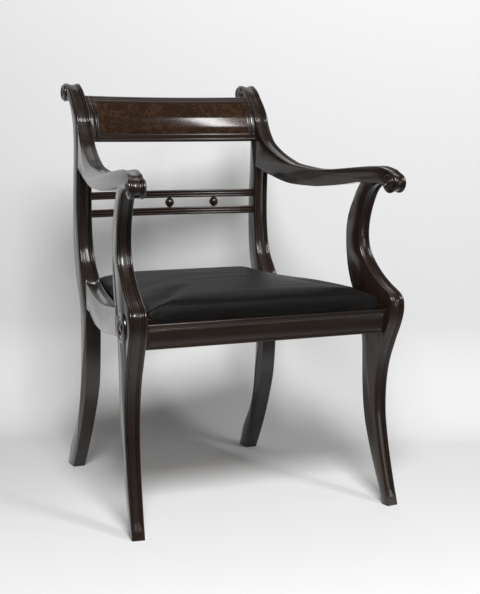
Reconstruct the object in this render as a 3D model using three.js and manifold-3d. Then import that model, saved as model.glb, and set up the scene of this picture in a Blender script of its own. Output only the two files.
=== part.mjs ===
// Reeded scroll-back armchair with sabre legs, S-shaped arm supports, scrolled arms and a drop-in seat.
// Millimetres, +Z up. +X is the sitter's left hand, the chair faces -Y, and the floor is at z = 0.
// Each side of the chair is one flat frame: rear post, side rail, front leg, arm support and arm.
// The rear posts stand parallel, and everything in front of them opens out toward the front.
// Side profiles are drawn as (along, height): along runs forward from the heel of the rear foot.

import * as THREE from 'three';
import { mergeVertices } from 'three/addons/utils/BufferGeometryUtils.js';
import Module from 'manifold-3d';

const wasm = await Module();
wasm.setup();

// Overall sizes
const overall_height = 838;
const frame_depth = 566;
const rear_width = 450;
const front_width = 580;

// Clearances
const clearance = 0.3;
const overrun = 6;
const seat_clearance = 1.6;
const soft_clearance = 0.8;
const weld = 1e-4;

// Rear posts: the stile, the rear leg and the crest scroll in one piece
const post_width = 32;
const post_foot_width = 26;
const post_taper_height = 200;
const crest_roll_radius = overall_height * 0.0233;
const crest_roll_set_back = frame_depth * 0.0203;

// Seat rails
const rail_top = overall_height * 0.4797;
const ledge_drop = 18.3;
const ledge_width = 12;
const ledge_height = 16;
const side_rail_rise = overall_height * 0.0233;
const side_rail_sag = overall_height * 0.0626;
const front_rail_height = 49;
const front_rail_forward = frame_depth * 0.9717;
const front_rail_lean = 10;
const front_rail_thickness = 34;
const front_rail_lip = 8;
const rear_rail_height = 28;
const rear_rail_thickness = 24;
const rear_rail_set_in = 4;

// Front legs and arm supports
const leg_foot_width = 25;
const leg_width = 34.5;
const leg_shoulder = frame_depth * 0.795;
const foot_border = 16;
const support_width = 28;

// Arms
const arm_height = overall_height * 0.7942;
const arm_seat_height = arm_height * 0.9714;
const arm_roll_forward = frame_depth * 0.954;
const arm_roll_height = arm_height * 0.979;
const arm_roll_radius = arm_height * 0.0323;
const arm_feather = 1.5;
const support_joint_height = arm_height * 0.777;

// Crest rail and its veneer
const crest_bottom = overall_height * 0.8538;
const crest_height = overall_height * 0.1158;
const crest_thickness = 22;
const crest_bow = 15;
const crest_hollow = 2.5;
const crest_set_back = 1.2;
const crest_bead_depth = 2.2;
const crest_wide_bead = 10.5;
const crest_narrow_bead = 4;
const crest_strip = 4;
const veneer_thickness = 1.4;
const veneer_sink = 0.6;

// Cross rods and balls
const rod_height = 16.8;
const rod_depth = 15;
const rod_forward = frame_depth * 0.114;
const rod_bow = 15;
const crest_to_rod = 107.6;
const ball_diameter = 20.5;
const ball_spacing = 105;
const ball_pin_diameter = 6;
const ball_pin_length = 5;

// Turned roundels
const crest_roundel_radius = 16.5;
const arm_roundel_radius = 15.5;
const small_roundel_thickness = 3.4;
const knee_roundel_radius = 29;
const knee_roundel_thickness = 5.2;
const knee_roundel_forward = frame_depth * 0.8975;
const knee_roundel_height = overall_height * 0.4666;

// Reeding, measured square to the face
const groove_depth = 4.2;

// Joints
const tenon_length = 14;
const tenon_thickness = 10;
const tenon_margin = 12;
const crest_tenon_inset = 6;
const crest_tenon_margin = 28;
const rod_tenon_inset = 3;

// Glue blocks
const block_height = 26;
const front_block_leg = 70;
const rear_block_leg = 46;

// Drop-in seat
const seat_frame_thickness = 20;
const seat_frame_width = 46;
const seat_corner = 14;
const web_count = 3;
const web_width = 52;
const web_thickness = 1.6;
const sacking_thickness = 1.2;
const cover_thickness = 1.8;
const cushion_edge_height = 35;
const cushion_crown = 15;
const cushion_roll = 14;
const cushion_corner_drop = 13;
const cushion_draw_in = 1;

// Fineness
const post_steps = 19;
const leg_steps = 22;
const support_steps = 9;
const arm_steps = 18;
const rail_steps = 8;
const roll_steps = 12;
const bow_steps = 8;
const roundel_sides = 16;
const ball_sides = 12;
const arc_steps = 6;
const corner_steps = 3;
const plan_steps = 3;

// Finishes
const mahogany = { color: 0x2b1710, roughness: 0.28, metalness: 0 };
const crotch_mahogany = { color: 0x4a2a1b, roughness: 0.22, metalness: 0 };
const inner_wood = { color: 0x9a7446, roughness: 0.7, metalness: 0 };
const haircloth = { color: 0x14110f, roughness: 0.42, metalness: 0 };
const hessian = { color: 0x8d7650, roughness: 0.95, metalness: 0 };
const curled_hair = { color: 0x4b3d33, roughness: 1, metalness: 0 };

// One reeded face, from its outer edge to its inner edge, as (across, recess) shares
// of the face's width and the groove depth: bead, narrow bead, groove, broad band, and back again
const reed_shares = [
  [0, 0.48], [0.04, 0.08], [0.13, 0.06], [0.17, 0.5], [0.22, 0.26], [0.285, 0.95], [0.35, 0.72],
  [0.65, 0.72], [0.715, 0.95], [0.78, 0.26], [0.83, 0.5], [0.87, 0.06], [0.96, 0.08], [1, 0.48],
];
const plain_shares = [[0, 0], [1, 0]];

// Rear post's front and back faces, as (height, along) shares of the overall height and the frame depth
const post_front_shares = [
  [0, 0.067], [0.072, 0.124], [0.131, 0.163], [0.209, 0.205], [0.263, 0.221], [0.322, 0.2275],
  [0.382, 0.2285], [0.430, 0.2275], [0.480, 0.228], [0.503, 0.227], [0.518, 0.214], [0.537, 0.190],
  [0.555, 0.171], [0.579, 0.155], [0.600, 0.1475], [0.638, 0.139], [0.674, 0.135], [0.716, 0.1345],
  [0.764, 0.137], [0.811, 0.141], [0.853, 0.1445], [0.883, 0.142], [0.907, 0.134], [0.927, 0.119],
  [0.943, 0.101], [0.957, 0.0815], [0.970, 0.061],
];
const post_back_shares = [
  [0, 0], [0.060, 0.041], [0.119, 0.100], [0.179, 0.138], [0.239, 0.155], [0.298, 0.162],
  [0.358, 0.164], [0.406, 0.161], [0.442, 0.153], [0.477, 0.134], [0.513, 0.110], [0.553, 0.0935],
  [0.597, 0.083], [0.650, 0.0785], [0.716, 0.081], [0.788, 0.0865], [0.835, 0.089], [0.865, 0.088],
  [0.889, 0.084], [0.909, 0.0755], [0.931, 0.061], [0.950, 0.043],
];

// Scrolls: (turn, radius) shares, turning from straight forward up and over to the underside
const crest_roll_shares = [
  [-0.019, 2.37], [0.019, 1.89], [0.083, 1.39], [0.184, 1.09], [0.25, 1], [0.5, 1], [0.917, 1],
];
const arm_roll_shares = [
  [-0.31, 1.26], [-0.25, 0.96], [-0.20, 0.88], [-0.13, 0.91], [-0.07, 0.95], [0, 1], [0.12, 1], [0.44, 0.96],
];

// Front leg and arm support, as (height, along) shares of the arm height and the frame depth
const leg_front_shares = [
  [0, 0.998], [0.045, 0.982], [0.090, 0.966], [0.150, 0.946], [0.210, 0.929], [0.270, 0.916],
  [0.331, 0.912], [0.376, 0.914], [0.418, 0.921], [0.451, 0.931], [0.481, 0.944], [0.511, 0.958],
  [0.538, 0.972], [0.563, 0.984], [0.590, 0.993], [0.613, 0.9955], [0.631, 0.993], [0.643, 0.984],
  [0.652, 0.971], [0.662, 0.949], [0.671, 0.928], [0.688, 0.896], [0.706, 0.868], [0.729, 0.839],
  [0.753, 0.816], [0.777, 0.802], [0.804, 0.795], [0.831, 0.795], [0.857, 0.799], [0.887, 0.809],
  [0.914, 0.8215], [0.935, 0.834], [0.951, 0.847], [0.963, 0.864], [0.972, 0.889],
];
const leg_back_shares = [
  [0, 0.963], [0.030, 0.952], [0.068, 0.933], [0.105, 0.914], [0.144, 0.895], [0.188, 0.876],
  [0.237, 0.858], [0.286, 0.8465], [0.328, 0.841], [0.376, 0.837], [0.419, 0.836], [0.466, 0.835],
  [0.505, 0.832], [0.532, 0.826], [0.550, 0.816],
];
const support_back_shares = [
  [0.632, 0.783], [0.645, 0.771], [0.663, 0.758], [0.691, 0.744], [0.721, 0.7325], [0.750, 0.7255],
  [0.777, 0.7205], [0.804, 0.719], [0.834, 0.7205], [0.863, 0.727], [0.894, 0.741], [0.923, 0.759],
  [0.944, 0.772], [0.962, 0.786], [0.972, 0.796],
];
// How far the leg has widened from its foot to its full width at the knee
const leg_swell_shares = [[0, 0], [0.25, 0.2], [0.5, 0.47], [0.75, 0.85], [0.9, 1], [1, 1]];

// Arm, as (along, height) shares of the frame depth and the arm height
const arm_top_shares = [
  [0.143, 1.127], [0.150, 1.117], [0.159, 1.104], [0.184, 1.076], [0.230, 1.051], [0.277, 1.033],
  [0.318, 1.021], [0.360, 1.011], [0.429, 1.0045], [0.512, 1], [0.583, 1.0015], [0.671, 1.008],
  [0.760, 1.016], [0.848, 1.023], [0.892, 1.024], [0.936, 1.017],
];
const arm_bottom_shares = [
  [0.120, 0.993], [0.143, 0.988], [0.177, 0.980], [0.212, 0.971], [0.256, 0.962], [0.302, 0.953],
  [0.359, 0.946], [0.415, 0.944], [0.473, 0.944], [0.530, 0.945], [0.594, 0.950], [0.657, 0.956],
  [0.717, 0.963], [0.775, 0.9714],
];
// How much of the post's extra width the arm still has
const arm_width_shares = [[0, 1], [0.14, 1], [0.35, 0.4], [0.6, 0], [1, 0]];

// Side rail, as (along, rise or sag) shares of its length, its rise at the joints and its full sag
const side_rail_top_shares = [
  [0, 1], [0.05, 0.84], [0.12, 0.66], [0.25, 0.36], [0.466, 0.15], [0.69, 0.36], [0.86, 0.68], [1, 1],
];
const side_rail_bottom_shares = [
  [0, 0.686], [0.1, 0.70], [0.2, 0.85], [0.306, 0.96], [0.47, 1], [0.574, 0.99], [0.80, 0.857], [1, 0.686],
];

// Crest rail's front from bottom to top: (height, recess) shares; the veneered field lies between its edges
const crest_lower_shares = [[0, 0.4], [0.03, 0], [0.075, 0], [0.09, 0.4], [0.105, 0]];
const crest_field_shares = [0.18, 0.34, 0.52, 0.7, 0.85];
const crest_upper_shares = [[0.93, 0], [0.945, 0.4], [0.96, 0], [0.985, 0.05], [1, 0.5]];
const crest_back_shares = [1, 0.8, 0.55, 0.28, 0];
const crest_top_thickness_share = 0.77;
const crest_lower_hollow_share = 0.45;
// One bead of the crest's ends, as (across, recess) shares
const bead_shares = [[0, 1], [0.28, 0.12], [0.72, 0.12]];

// Cross rod's section: (depth, height) shares of its half sizes, three reeds to the front
const rod_section_shares = [
  [0.6, -1], [0.92, -0.9], [1, -0.667], [0.92, -0.43], [0.74, -0.333], [0.92, -0.24], [1, 0], [0.92, 0.24],
  [0.74, 0.333], [0.92, 0.43], [1, 0.667], [0.92, 0.9], [0.6, 1], [-0.8, 1], [-1, 0.7], [-1, -0.7], [-0.8, -1],
];

// Front rail's scored lines: heights as shares of the rail's height, and their size
const score_height_shares = [0.155, 0.74, 0.81];
const score_width = 1.6;
const score_depth = 1;
const score_stop = 7;

// Roundel's turned face: (radius, height) shares
const roundel_shares = [
  [0, 1], [0.2, 0.9], [0.31, 0.4], [0.5, 0.4], [0.6, 0.82], [0.76, 0.5], [0.92, 0.8], [1, 0.5],
];

// Cushion: rings from the rolled edge to the middle, as shares of the way out
const cushion_ring_shares = [0.94, 0.82, 0.66, 0.48, 0.28];

const rear_half = rear_width / 2;
const front_half = front_width / 2;
const crest_roll_height = overall_height - crest_roll_radius;
const joint_top = rail_top + side_rail_rise;
const joint_bottom = rail_top - side_rail_sag * side_rail_bottom_shares[0][1];
const ledge_top = rail_top - ledge_drop;
const upper_rod_height = crest_bottom - crest_to_rod - rod_height / 2;
const lower_rod_height = upper_rod_height - rod_height - ball_diameter - clearance * 2;
const leg_near = (support_width - leg_width) / 2;

// A smooth line through knots of (along, value), as a function of the place along it
function smooth(knots) {
  const slope = knots.map((knot, i) => {
    const before = knots[Math.max(i - 1, 0)];
    const after = knots[Math.min(i + 1, knots.length - 1)];
    return (after[1] - before[1]) / (after[0] - before[0]);
  });
  return (along) => {
    let i = 0;
    while (i < knots.length - 2 && along > knots[i + 1][0]) i += 1;
    const [start, low] = knots[i];
    const [end, high] = knots[i + 1];
    const step = end - start;
    const t = (along - start) / step;
    const t2 = t * t;
    const t3 = t2 * t;
    return low * (2 * t3 - 3 * t2 + 1) + high * (3 * t2 - 2 * t3)
      + slope[i] * step * (t3 - 2 * t2 + t) + slope[i + 1] * step * (t3 - t2);
  };
}

function scaled(shares, along_size, value_size) {
  return shares.map(([along, value]) => [along * along_size, value * value_size]);
}

const postFront = smooth(scaled(post_front_shares, overall_height, frame_depth));
const postBack = smooth(scaled(post_back_shares, overall_height, frame_depth));
const legFront = smooth(scaled(leg_front_shares, arm_height, frame_depth));
const legBack = smooth(scaled(leg_back_shares, arm_height, frame_depth));
const supportBack = smooth(scaled(support_back_shares, arm_height, frame_depth));
const armTop = smooth(scaled(arm_top_shares, frame_depth, arm_height));
const armBottom = smooth(scaled(arm_bottom_shares, frame_depth, arm_height));
const legSwell = smooth(leg_swell_shares);
const armExtra = smooth(scaled(arm_width_shares, frame_depth, post_width - support_width));
const crestRoll = smooth(crest_roll_shares);
const armRoll = smooth(arm_roll_shares);
const railTop = smooth(side_rail_top_shares);
const railBottom = smooth(side_rail_bottom_shares);
const side_rail_joint = postFront(joint_top);

// The splayed plane of arms and front legs starts where the arm's outer face meets the post
const arm_joint = postFront(arm_height);
const splay = Math.atan((front_half - rear_half) / (frame_depth - arm_joint));
const splay_sin = Math.sin(splay);
const splay_cos = Math.cos(splay);
const plane_start = rear_half - arm_joint * Math.tan(splay);

// The chair's middle in depth, halfway between the crest scrolls and the toes
const toe_forward = legFront(0) * splay_cos + (leg_near + leg_width) * splay_sin;
const middle_forward = (toe_forward - crest_roll_set_back - crest_roll_radius) / 2;

// Where a point of a side frame lies: side is 1 on the sitter's left and -1 on the right,
// and inward is the distance in from the frame's outer face
function inPost(side) {
  return (along, height, inward) => [side * (rear_half - inward), middle_forward - along, height];
}

function inSplay(side) {
  return (along, height, inward) => [
    side * (plane_start + along * splay_sin - inward * splay_cos),
    middle_forward - along * splay_cos - inward * splay_sin,
    height,
  ];
}

// The side rail runs from the post's section to the leg's: its inward value is a share of the width there
function inRail(side) {
  const atPost = inPost(side);
  const atLeg = inSplay(side);
  return (along, height, inward) => {
    const t = (along - side_rail_joint) / (leg_shoulder - side_rail_joint);
    const start = atPost(side_rail_joint, height, inward * post_width);
    const end = atLeg(leg_shoulder, height, leg_near + inward * leg_width);
    return start.map((value, i) => value * (1 - t) + end[i] * t);
  };
}

// Inner face of a side frame at seat height, as a distance from the middle of the chair
const leg_inner = leg_near + leg_width;
const leg_inner_start = leg_shoulder * splay_cos + leg_inner * splay_sin;
function innerFace(forward) {
  const at_post = rear_half - post_width;
  const slope = Math.tan(splay);
  const leg_offset = plane_start - leg_inner * splay_sin * slope - leg_inner * splay_cos;
  if (forward <= side_rail_joint) return at_post;
  if (forward >= leg_inner_start) return leg_offset + forward * slope;
  const t = (forward - side_rail_joint) / (leg_inner_start - side_rail_joint);
  return at_post * (1 - t) + (leg_offset + leg_inner_start * slope) * t;
}

// Where the inner faces of the side frames turn, between two places and in the order from start to end
function bendsBetween(start, end) {
  const bends = [side_rail_joint, leg_inner_start].filter((bend) => (bend - start) * (bend - end) < 0);
  return start < end ? bends : bends.reverse();
}

// Evenly spread places from low to high, both ends included
function spread(low, high, steps) {
  return Array.from({ length: steps + 1 }, (_, i) => low + (high - low) * i / steps);
}

// A closed geometry from its corners and faces, turned so that its faces look outward
function closed(positions, faces) {
  const corner = (i) => new THREE.Vector3().fromArray(positions, i * 3);
  let volume = 0;
  for (const [a, b, c] of faces) volume += corner(a).dot(corner(b).cross(corner(c)));
  const geometry = new THREE.BufferGeometry();
  geometry.setAttribute('position', new THREE.Float32BufferAttribute(positions, 3));
  geometry.setIndex(faces.flatMap(([a, b, c]) => (volume < 0 ? [a, c, b] : [a, b, c])));
  return geometry;
}

// Faces between two rows of corners, which may have different counts
function bridge(here, next, faces) {
  let a = 0;
  let b = 0;
  while (a < here.length - 1 || b < next.length - 1) {
    const here_share = (a + 0.5) / (here.length - 1);
    const next_share = (b + 0.5) / (next.length - 1);
    if (next_share <= here_share) {
      faces.push([here[a], next[b], next[b + 1]]);
      b += 1;
    } else {
      faces.push([here[a], next[b], here[a + 1]]);
      a += 1;
    }
  }
}

// Fills a flat outline, given as (across, up) corners and their numbers
function fill(outline, numbers, forward, faces) {
  const contour = outline.map(([across, up]) => new THREE.Vector2(across, up));
  const turn = THREE.ShapeUtils.isClockWise(contour) ? -1 : 1;
  for (const face of THREE.ShapeUtils.triangulateShape(contour, [])) {
    const [a, b, c] = face.map((i) => contour[i]);
    const area = (b.x - a.x) * (c.y - a.y) - (c.x - a.x) * (b.y - a.y);
    const corners = face.map((i) => numbers[i]);
    faces.push(area * turn * forward > 0 ? corners : corners.reverse());
  }
}

// The direction into the profile at one of its points
function inwardAt(points, i) {
  if (points[i].into) return points[i].into;
  const before = points[(i + points.length - 1) % points.length];
  const after = points[(i + 1) % points.length];
  const run = after.along - before.along;
  const rise = after.height - before.height;
  const length = Math.hypot(run, rise);
  return [-rise / length, run / length];
}

// A piece of a side frame: its closed side profile, swept across from near to far,
// with the reeding sunk into the points that carry it. A margin widens a cutter past both faces
function loftAcross(points, place, margin = 0) {
  const positions = [];
  const faces = [];
  const sides = [[], []];
  const rings = points.map((point, i) => {
    const [run, rise] = inwardAt(points, i);
    const shares = point.reed > 0 ? reed_shares : plain_shares;
    const levels = shares.map(([across, recess]) => [point.near + across * (point.far - point.near), recess]);
    if (margin > 0) {
      levels.unshift([point.near - margin, levels[0][1]]);
      levels.push([point.far + margin, levels[levels.length - 1][1]]);
    }
    return levels.map(([inward, recess], level) => {
      const depth = recess * groove_depth * point.reed;
      const corner = [point.along + run * depth, point.height + rise * depth];
      if (level === 0) sides[0].push(corner);
      if (level === levels.length - 1) sides[1].push(corner);
      positions.push(...place(corner[0], corner[1], inward));
      return positions.length / 3 - 1;
    });
  });
  rings.forEach((ring, i) => bridge(ring, rings[(i + 1) % rings.length], faces));
  fill(sides[0], rings.map((ring) => ring[0]), -1, faces);
  fill(sides[1], rings.map((ring) => ring[ring.length - 1]), 1, faces);
  return closed(positions, faces);
}

// A plain block of a side frame between two faces
function blockAcross(profile, near, far, place) {
  return loftAcross(profile.map(([along, height]) => ({ along, height, near, far, reed: 0 })), place);
}

// A solid through rings of equal count, each a list of [x, y, z], one after the other along X
function loftAlong(rings) {
  const faces = [];
  const count = rings[0].length;
  const numbers = rings.map((ring, i) => ring.map((_, k) => i * count + k));
  for (let i = 1; i < rings.length; i += 1) {
    bridge([...numbers[i - 1], numbers[i - 1][0]], [...numbers[i], numbers[i][0]], faces);
  }
  const flat = (ring) => ring.map(([, y, z]) => [y, z]);
  const last = rings.length - 1;
  fill(flat(rings[0]), numbers[0], 1, faces);
  fill(flat(rings[last]), numbers[last], -1, faces);
  const positions = rings.flat(2);
  return closed(positions, faces);
}

function solid(geometry) {
  const bare = geometry.clone();
  bare.deleteAttribute('normal');
  bare.deleteAttribute('uv');
  const merged = mergeVertices(bare, weld);
  const vertProperties = new Float32Array(merged.attributes.position.array);
  const triVerts = new Uint32Array(merged.index.array);
  return new wasm.Manifold(new wasm.Mesh({ numProp: 3, vertProperties, triVerts }));
}

function geometryOf(body) {
  const mesh = body.getMesh();
  const geometry = new THREE.BufferGeometry();
  geometry.setAttribute('position', new THREE.BufferAttribute(mesh.vertProperties, 3));
  geometry.setIndex(new THREE.BufferAttribute(mesh.triVerts, 1));
  geometry.computeVertexNormals();
  return geometry;
}

function box(low, high) {
  const size = high.map((value, i) => value - low[i]);
  const geometry = new THREE.BoxGeometry(...size);
  return geometry.translate(...low.map((value, i) => value + size[i] / 2));
}

function piece(name, body, finish) {
  const geometry = body instanceof THREE.BufferGeometry ? body : geometryOf(body);
  const mesh = new THREE.Mesh(geometry, new THREE.MeshStandardMaterial(finish));
  mesh.name = name;
  return mesh;
}

// A rectangle of a side profile
function oblong(along_low, along_high, low, high) {
  return [[along_low, low], [along_high, low], [along_high, high], [along_low, high]];
}

function grown(profile_box, gap) {
  const [along_low, along_high, low, high] = profile_box;
  return oblong(along_low - gap, along_high + gap, low - gap, high + gap);
}

// Heights of the arm's joint on the post, and of the reeding that stops behind it
const arm_joint_bottom = armBottom(arm_joint);
const arm_joint_top = armTop(arm_joint);
const reed_stop = arm_joint_bottom + overrun;
const reed_restart = arm_joint_top - overrun * 3;
const reed_fade = clearance;

function postWidth(height) {
  const t = Math.min(height / post_taper_height, 1);
  return post_foot_width + (post_width - post_foot_width) * t;
}

function postPoint(along, height, reed, into) {
  return { along, height, near: 0, far: postWidth(height), reed, into };
}

function postFrontPoints(low, high, steps, reed) {
  return spread(low, high, steps).map((height) => postPoint(postFront(height), height, reed));
}

function crestRollPoints() {
  const first = crest_roll_shares[0][0];
  const last = crest_roll_shares[crest_roll_shares.length - 1][0];
  return spread(first, last, roll_steps).map((turn, i) => {
    const radius = crestRoll(turn) * crest_roll_radius;
    const angle = turn * Math.PI * 2;
    const along = radius * Math.cos(angle) - crest_roll_set_back;
    return postPoint(along, crest_roll_height + radius * Math.sin(angle), i < roll_steps ? 1 : 0);
  });
}

function postProfile() {
  const neck = post_front_shares[post_front_shares.length - 1][0] * overall_height;
  const back_neck = post_back_shares[post_back_shares.length - 1][0] * overall_height;
  const third = Math.round(post_steps / 3);
  const upper = postFrontPoints(reed_restart, neck, third, 1);
  return [
    ...postFrontPoints(0, joint_bottom, third, 0),
    postPoint(side_rail_joint, joint_top, 1, [0, -1]),
    ...postFrontPoints(joint_top, reed_stop, post_steps - third, 1).slice(1),
    postPoint(postFront(reed_stop + reed_fade), reed_stop + reed_fade, 0),
    postPoint(postFront(reed_restart - reed_fade), reed_restart - reed_fade, 0),
    ...upper.slice(0, -1),
    ...crestRollPoints(),
    ...spread(back_neck, 0, post_steps).map((height) => postPoint(postBack(height), height, 0)),
  ];
}

// What the arm's end is cut to: the post itself, widened past both faces and moved forward by the clearance,
// with a plain stretch that ends what fills the grooves a little short of the post's own stops
function postCutter(side) {
  const moved = postProfile().map((point) => ({ ...point, along: point.along + clearance }));
  const gap = clearance * 3;
  const heights = [reed_stop - gap, reed_stop + reed_fade, reed_restart - reed_fade, reed_restart + gap];
  const plain = heights.map((height) => postPoint(postFront(height) + clearance, height, 0));
  const back = [...heights].reverse().map((height) => postPoint(arm_joint - overrun * 3, height, 0));
  const place = inPost(side);
  const margin = overrun * 2;
  return solid(loftAcross(moved, place, margin)).add(solid(loftAcross([...plain, ...back], place, margin)));
}

// Tenons of the side frame, as [along, along, height, height] in their own plane
const tenon_near = (post_width - tenon_thickness) / 2;
const tenon_far = (post_width + tenon_thickness) / 2;
const arm_tenon = [
  arm_joint - tenon_length, arm_joint + overrun,
  arm_joint_bottom + tenon_margin, reed_restart - tenon_margin,
];
const rail_tenon_heights = [joint_bottom + tenon_margin / 2, ledge_top];
const rail_rear_tenon = [side_rail_joint - tenon_length, side_rail_joint + overrun, ...rail_tenon_heights];
const rail_front_tenon = [leg_shoulder - overrun, leg_shoulder + tenon_length, ...rail_tenon_heights];
const support_middle = (legFront(support_joint_height) + supportBack(support_joint_height)) / 2;
const support_tenon = [
  support_middle - tenon_margin, support_middle + tenon_margin,
  support_joint_height - overrun, support_joint_height + tenon_length,
];
const support_top = arm_seat_height - clearance;
const support_top_middle = (legFront(support_top) + supportBack(support_top)) / 2;
const support_top_tenon = [
  support_top_middle - tenon_margin, support_top_middle + tenon_margin,
  support_top - overrun, support_top + tenon_length,
];
const middle_near = (support_width - tenon_thickness) / 2;
const middle_far = (support_width + tenon_thickness) / 2;

function tenon(tenon_box, near, far, place, gap = 0) {
  return solid(blockAcross(grown(tenon_box, gap), near - gap, far + gap, place));
}

// The rail's tenons, whose faces are shares of the rail's width
function railTenon(tenon_box, side, gap = 0) {
  const near_share = (tenon_near - gap) / post_width;
  const far_share = (tenon_far + gap) / post_width;
  return solid(blockAcross(grown(tenon_box, gap), near_share, far_share, inRail(side)));
}

// Crest rail
const crest_half = rear_half - post_width - clearance;
const crest_field_half = crest_half - crest_wide_bead - crest_narrow_bead - crest_strip;
const veneer_recess = veneer_thickness + veneer_sink + clearance;

function bowAt(x, bow) {
  return bow * (1 - (x / crest_half) ** 2);
}

function crestHeight(x, share) {
  const hollow = crest_hollow * (crest_lower_hollow_share + (1 - crest_lower_hollow_share) * share);
  return crest_bottom + crest_height * share - bowAt(x, hollow);
}

function crestFront(x, share) {
  return postFront(crestHeight(x, share)) - crest_set_back - bowAt(x, crest_bow);
}

function crestThickness(share) {
  return crest_thickness * (1 - (1 - crest_top_thickness_share) * share);
}

// One section of the crest rail: end_recess is the bead's recess there, in_field is true on the veneered field
function crestRing(x, end_recess, in_field) {
  const at = (share, recess) => [x, middle_forward - crestFront(x, share) + recess, crestHeight(x, share)];
  const border = ([share, recess]) => at(share, Math.max(recess * crest_bead_depth, end_recess));
  const field_recess = in_field ? veneer_recess : end_recess;
  return [
    ...crest_lower_shares.map(border),
    ...crest_field_shares.map((share) => at(share, field_recess)),
    ...crest_upper_shares.map(border),
    ...crest_back_shares.map((share) => at(share, crestThickness(share))),
  ];
}

// The tenon's section has as many corners as the rail's, moved in from its faces and ends
function crestTenonRing(x, inset) {
  const margin = (crest_tenon_margin + inset - crest_tenon_inset) / crest_height;
  const shares = [...crest_lower_shares, ...crest_field_shares.map((share) => [share]), ...crest_upper_shares];
  const pulled = (share) => margin + share * (1 - margin * 2);
  const at = (share, recess) => [x, middle_forward - crestFront(x, share) + recess, crestHeight(x, share)];
  return [
    ...shares.map(([share]) => at(pulled(share), inset)),
    ...crest_back_shares.map((share) => at(pulled(share), crestThickness(pulled(share)) - inset)),
  ];
}

function crestStations() {
  const stations = [];
  const edges = [[crest_half, crest_wide_bead], [crest_half - crest_wide_bead, crest_narrow_bead]];
  for (const [start, width] of edges) {
    const depth = crest_bead_depth * Math.sqrt(width / crest_wide_bead);
    for (const [across, recess] of bead_shares) stations.push([start - across * width, recess * depth, false]);
  }
  const strip_start = crest_half - crest_wide_bead - crest_narrow_bead;
  stations.push([strip_start, crest_bead_depth * Math.sqrt(crest_narrow_bead / crest_wide_bead), false]);
  stations.push([strip_start - clearance, 0, false]);
  stations.push([crest_field_half + clearance, 0, false]);
  return stations;
}

function crestRail() {
  const ends = crestStations();
  const field = spread(crest_field_half, -crest_field_half, bow_steps).map((x) => [x, 0, true]);
  const mirrored = ends.map(([x, recess, in_field]) => [-x, recess, in_field]).reverse();
  return loftAlong([
    crestTenonRing(crest_half + tenon_length, crest_tenon_inset),
    crestTenonRing(crest_half, crest_tenon_inset),
    ...[...ends, ...field, ...mirrored].map((station) => crestRing(...station)),
    crestTenonRing(-crest_half, crest_tenon_inset),
    crestTenonRing(-crest_half - tenon_length, crest_tenon_inset),
  ]);
}

function crestMortise(side) {
  const inset = crest_tenon_inset - clearance;
  const start = side * (crest_half - overrun);
  const end = side * (crest_half + tenon_length + clearance);
  return solid(loftAlong([crestTenonRing(start, inset), crestTenonRing(end, inset)]));
}

function crestVeneer() {
  const half = crest_field_half - clearance;
  const low = crest_field_shares[0];
  const high = crest_field_shares[crest_field_shares.length - 1];
  const margin = clearance / crest_height;
  const shares = crest_field_shares.map((share) => Math.min(Math.max(share, low + margin), high - margin));
  const back = veneer_sink + veneer_thickness;
  const ring = (x) => {
    const at = (share, recess) => [x, middle_forward - crestFront(x, share) + recess, crestHeight(x, share)];
    const front = shares.map((share) => at(share, veneer_sink));
    return [...front, ...[...shares].reverse().map((share) => at(share, back))];
  };
  return loftAlong(spread(half, -half, bow_steps).map(ring));
}

// Cross rods and the balls between them
function rodMiddle(x) {
  return rod_forward - bowAt(x, rod_bow) - rod_depth / 2;
}

function rodRing(x, height) {
  return rod_section_shares.map(([deep, up]) => [
    x, middle_forward - rodMiddle(x) - deep * rod_depth / 2, height + up * rod_height / 2,
  ]);
}

function rodTenon(side, height, gap) {
  const start = crest_half - overrun;
  const end = crest_half + tenon_length + gap;
  const middle = middle_forward - rodMiddle(crest_half);
  const half_depth = rod_depth / 2 - rod_tenon_inset + gap;
  const half_height = rod_height / 2 - rod_tenon_inset + gap;
  return solid(box(
    [side > 0 ? start : -end, middle - half_depth, height - half_height],
    [side > 0 ? end : -start, middle + half_depth, height + half_height],
  ));
}

function rod(height) {
  const sections = spread(crest_half, -crest_half, bow_steps).map((x) => rodRing(x, height));
  const body = solid(loftAlong(sections)).add(rodTenon(1, height, 0)).add(rodTenon(-1, height, 0));
  return ball_places.reduce((cut, x) => cut.subtract(ballPinHole(x)), body);
}

const ball_places = [-ball_spacing, 0, ball_spacing];
const ball_height = (upper_rod_height + lower_rod_height) / 2;

function ballPinHole(x) {
  const radius = ball_pin_diameter / 2 + clearance;
  const length = ball_diameter + (ball_pin_length + clearance * 2) * 2;
  const hole = new THREE.CylinderGeometry(radius, radius, length, arc_steps * 2);
  hole.rotateX(Math.PI / 2);
  return solid(hole.translate(x, middle_forward - rodMiddle(x), ball_height));
}

function ballGeometry() {
  const radius = ball_diameter / 2;
  const pin = ball_pin_diameter / 2;
  const start = Math.asin(pin / radius);
  const end = radius + ball_pin_length;
  const arc = spread(start, Math.PI - start, arc_steps);
  const profile = [
    [0, -end], [pin, -end],
    ...arc.map((angle) => [radius * Math.sin(angle), -radius * Math.cos(angle)]),
    [pin, end], [0, end],
  ].map(([across, up]) => new THREE.Vector2(across, up));
  return new THREE.LatheGeometry(profile, ball_sides).rotateX(Math.PI / 2);
}

function ball(x, name) {
  const mesh = piece(name, ballGeometry(), mahogany);
  mesh.position.set(x, middle_forward - rodMiddle(x), ball_height);
  return mesh;
}

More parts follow.
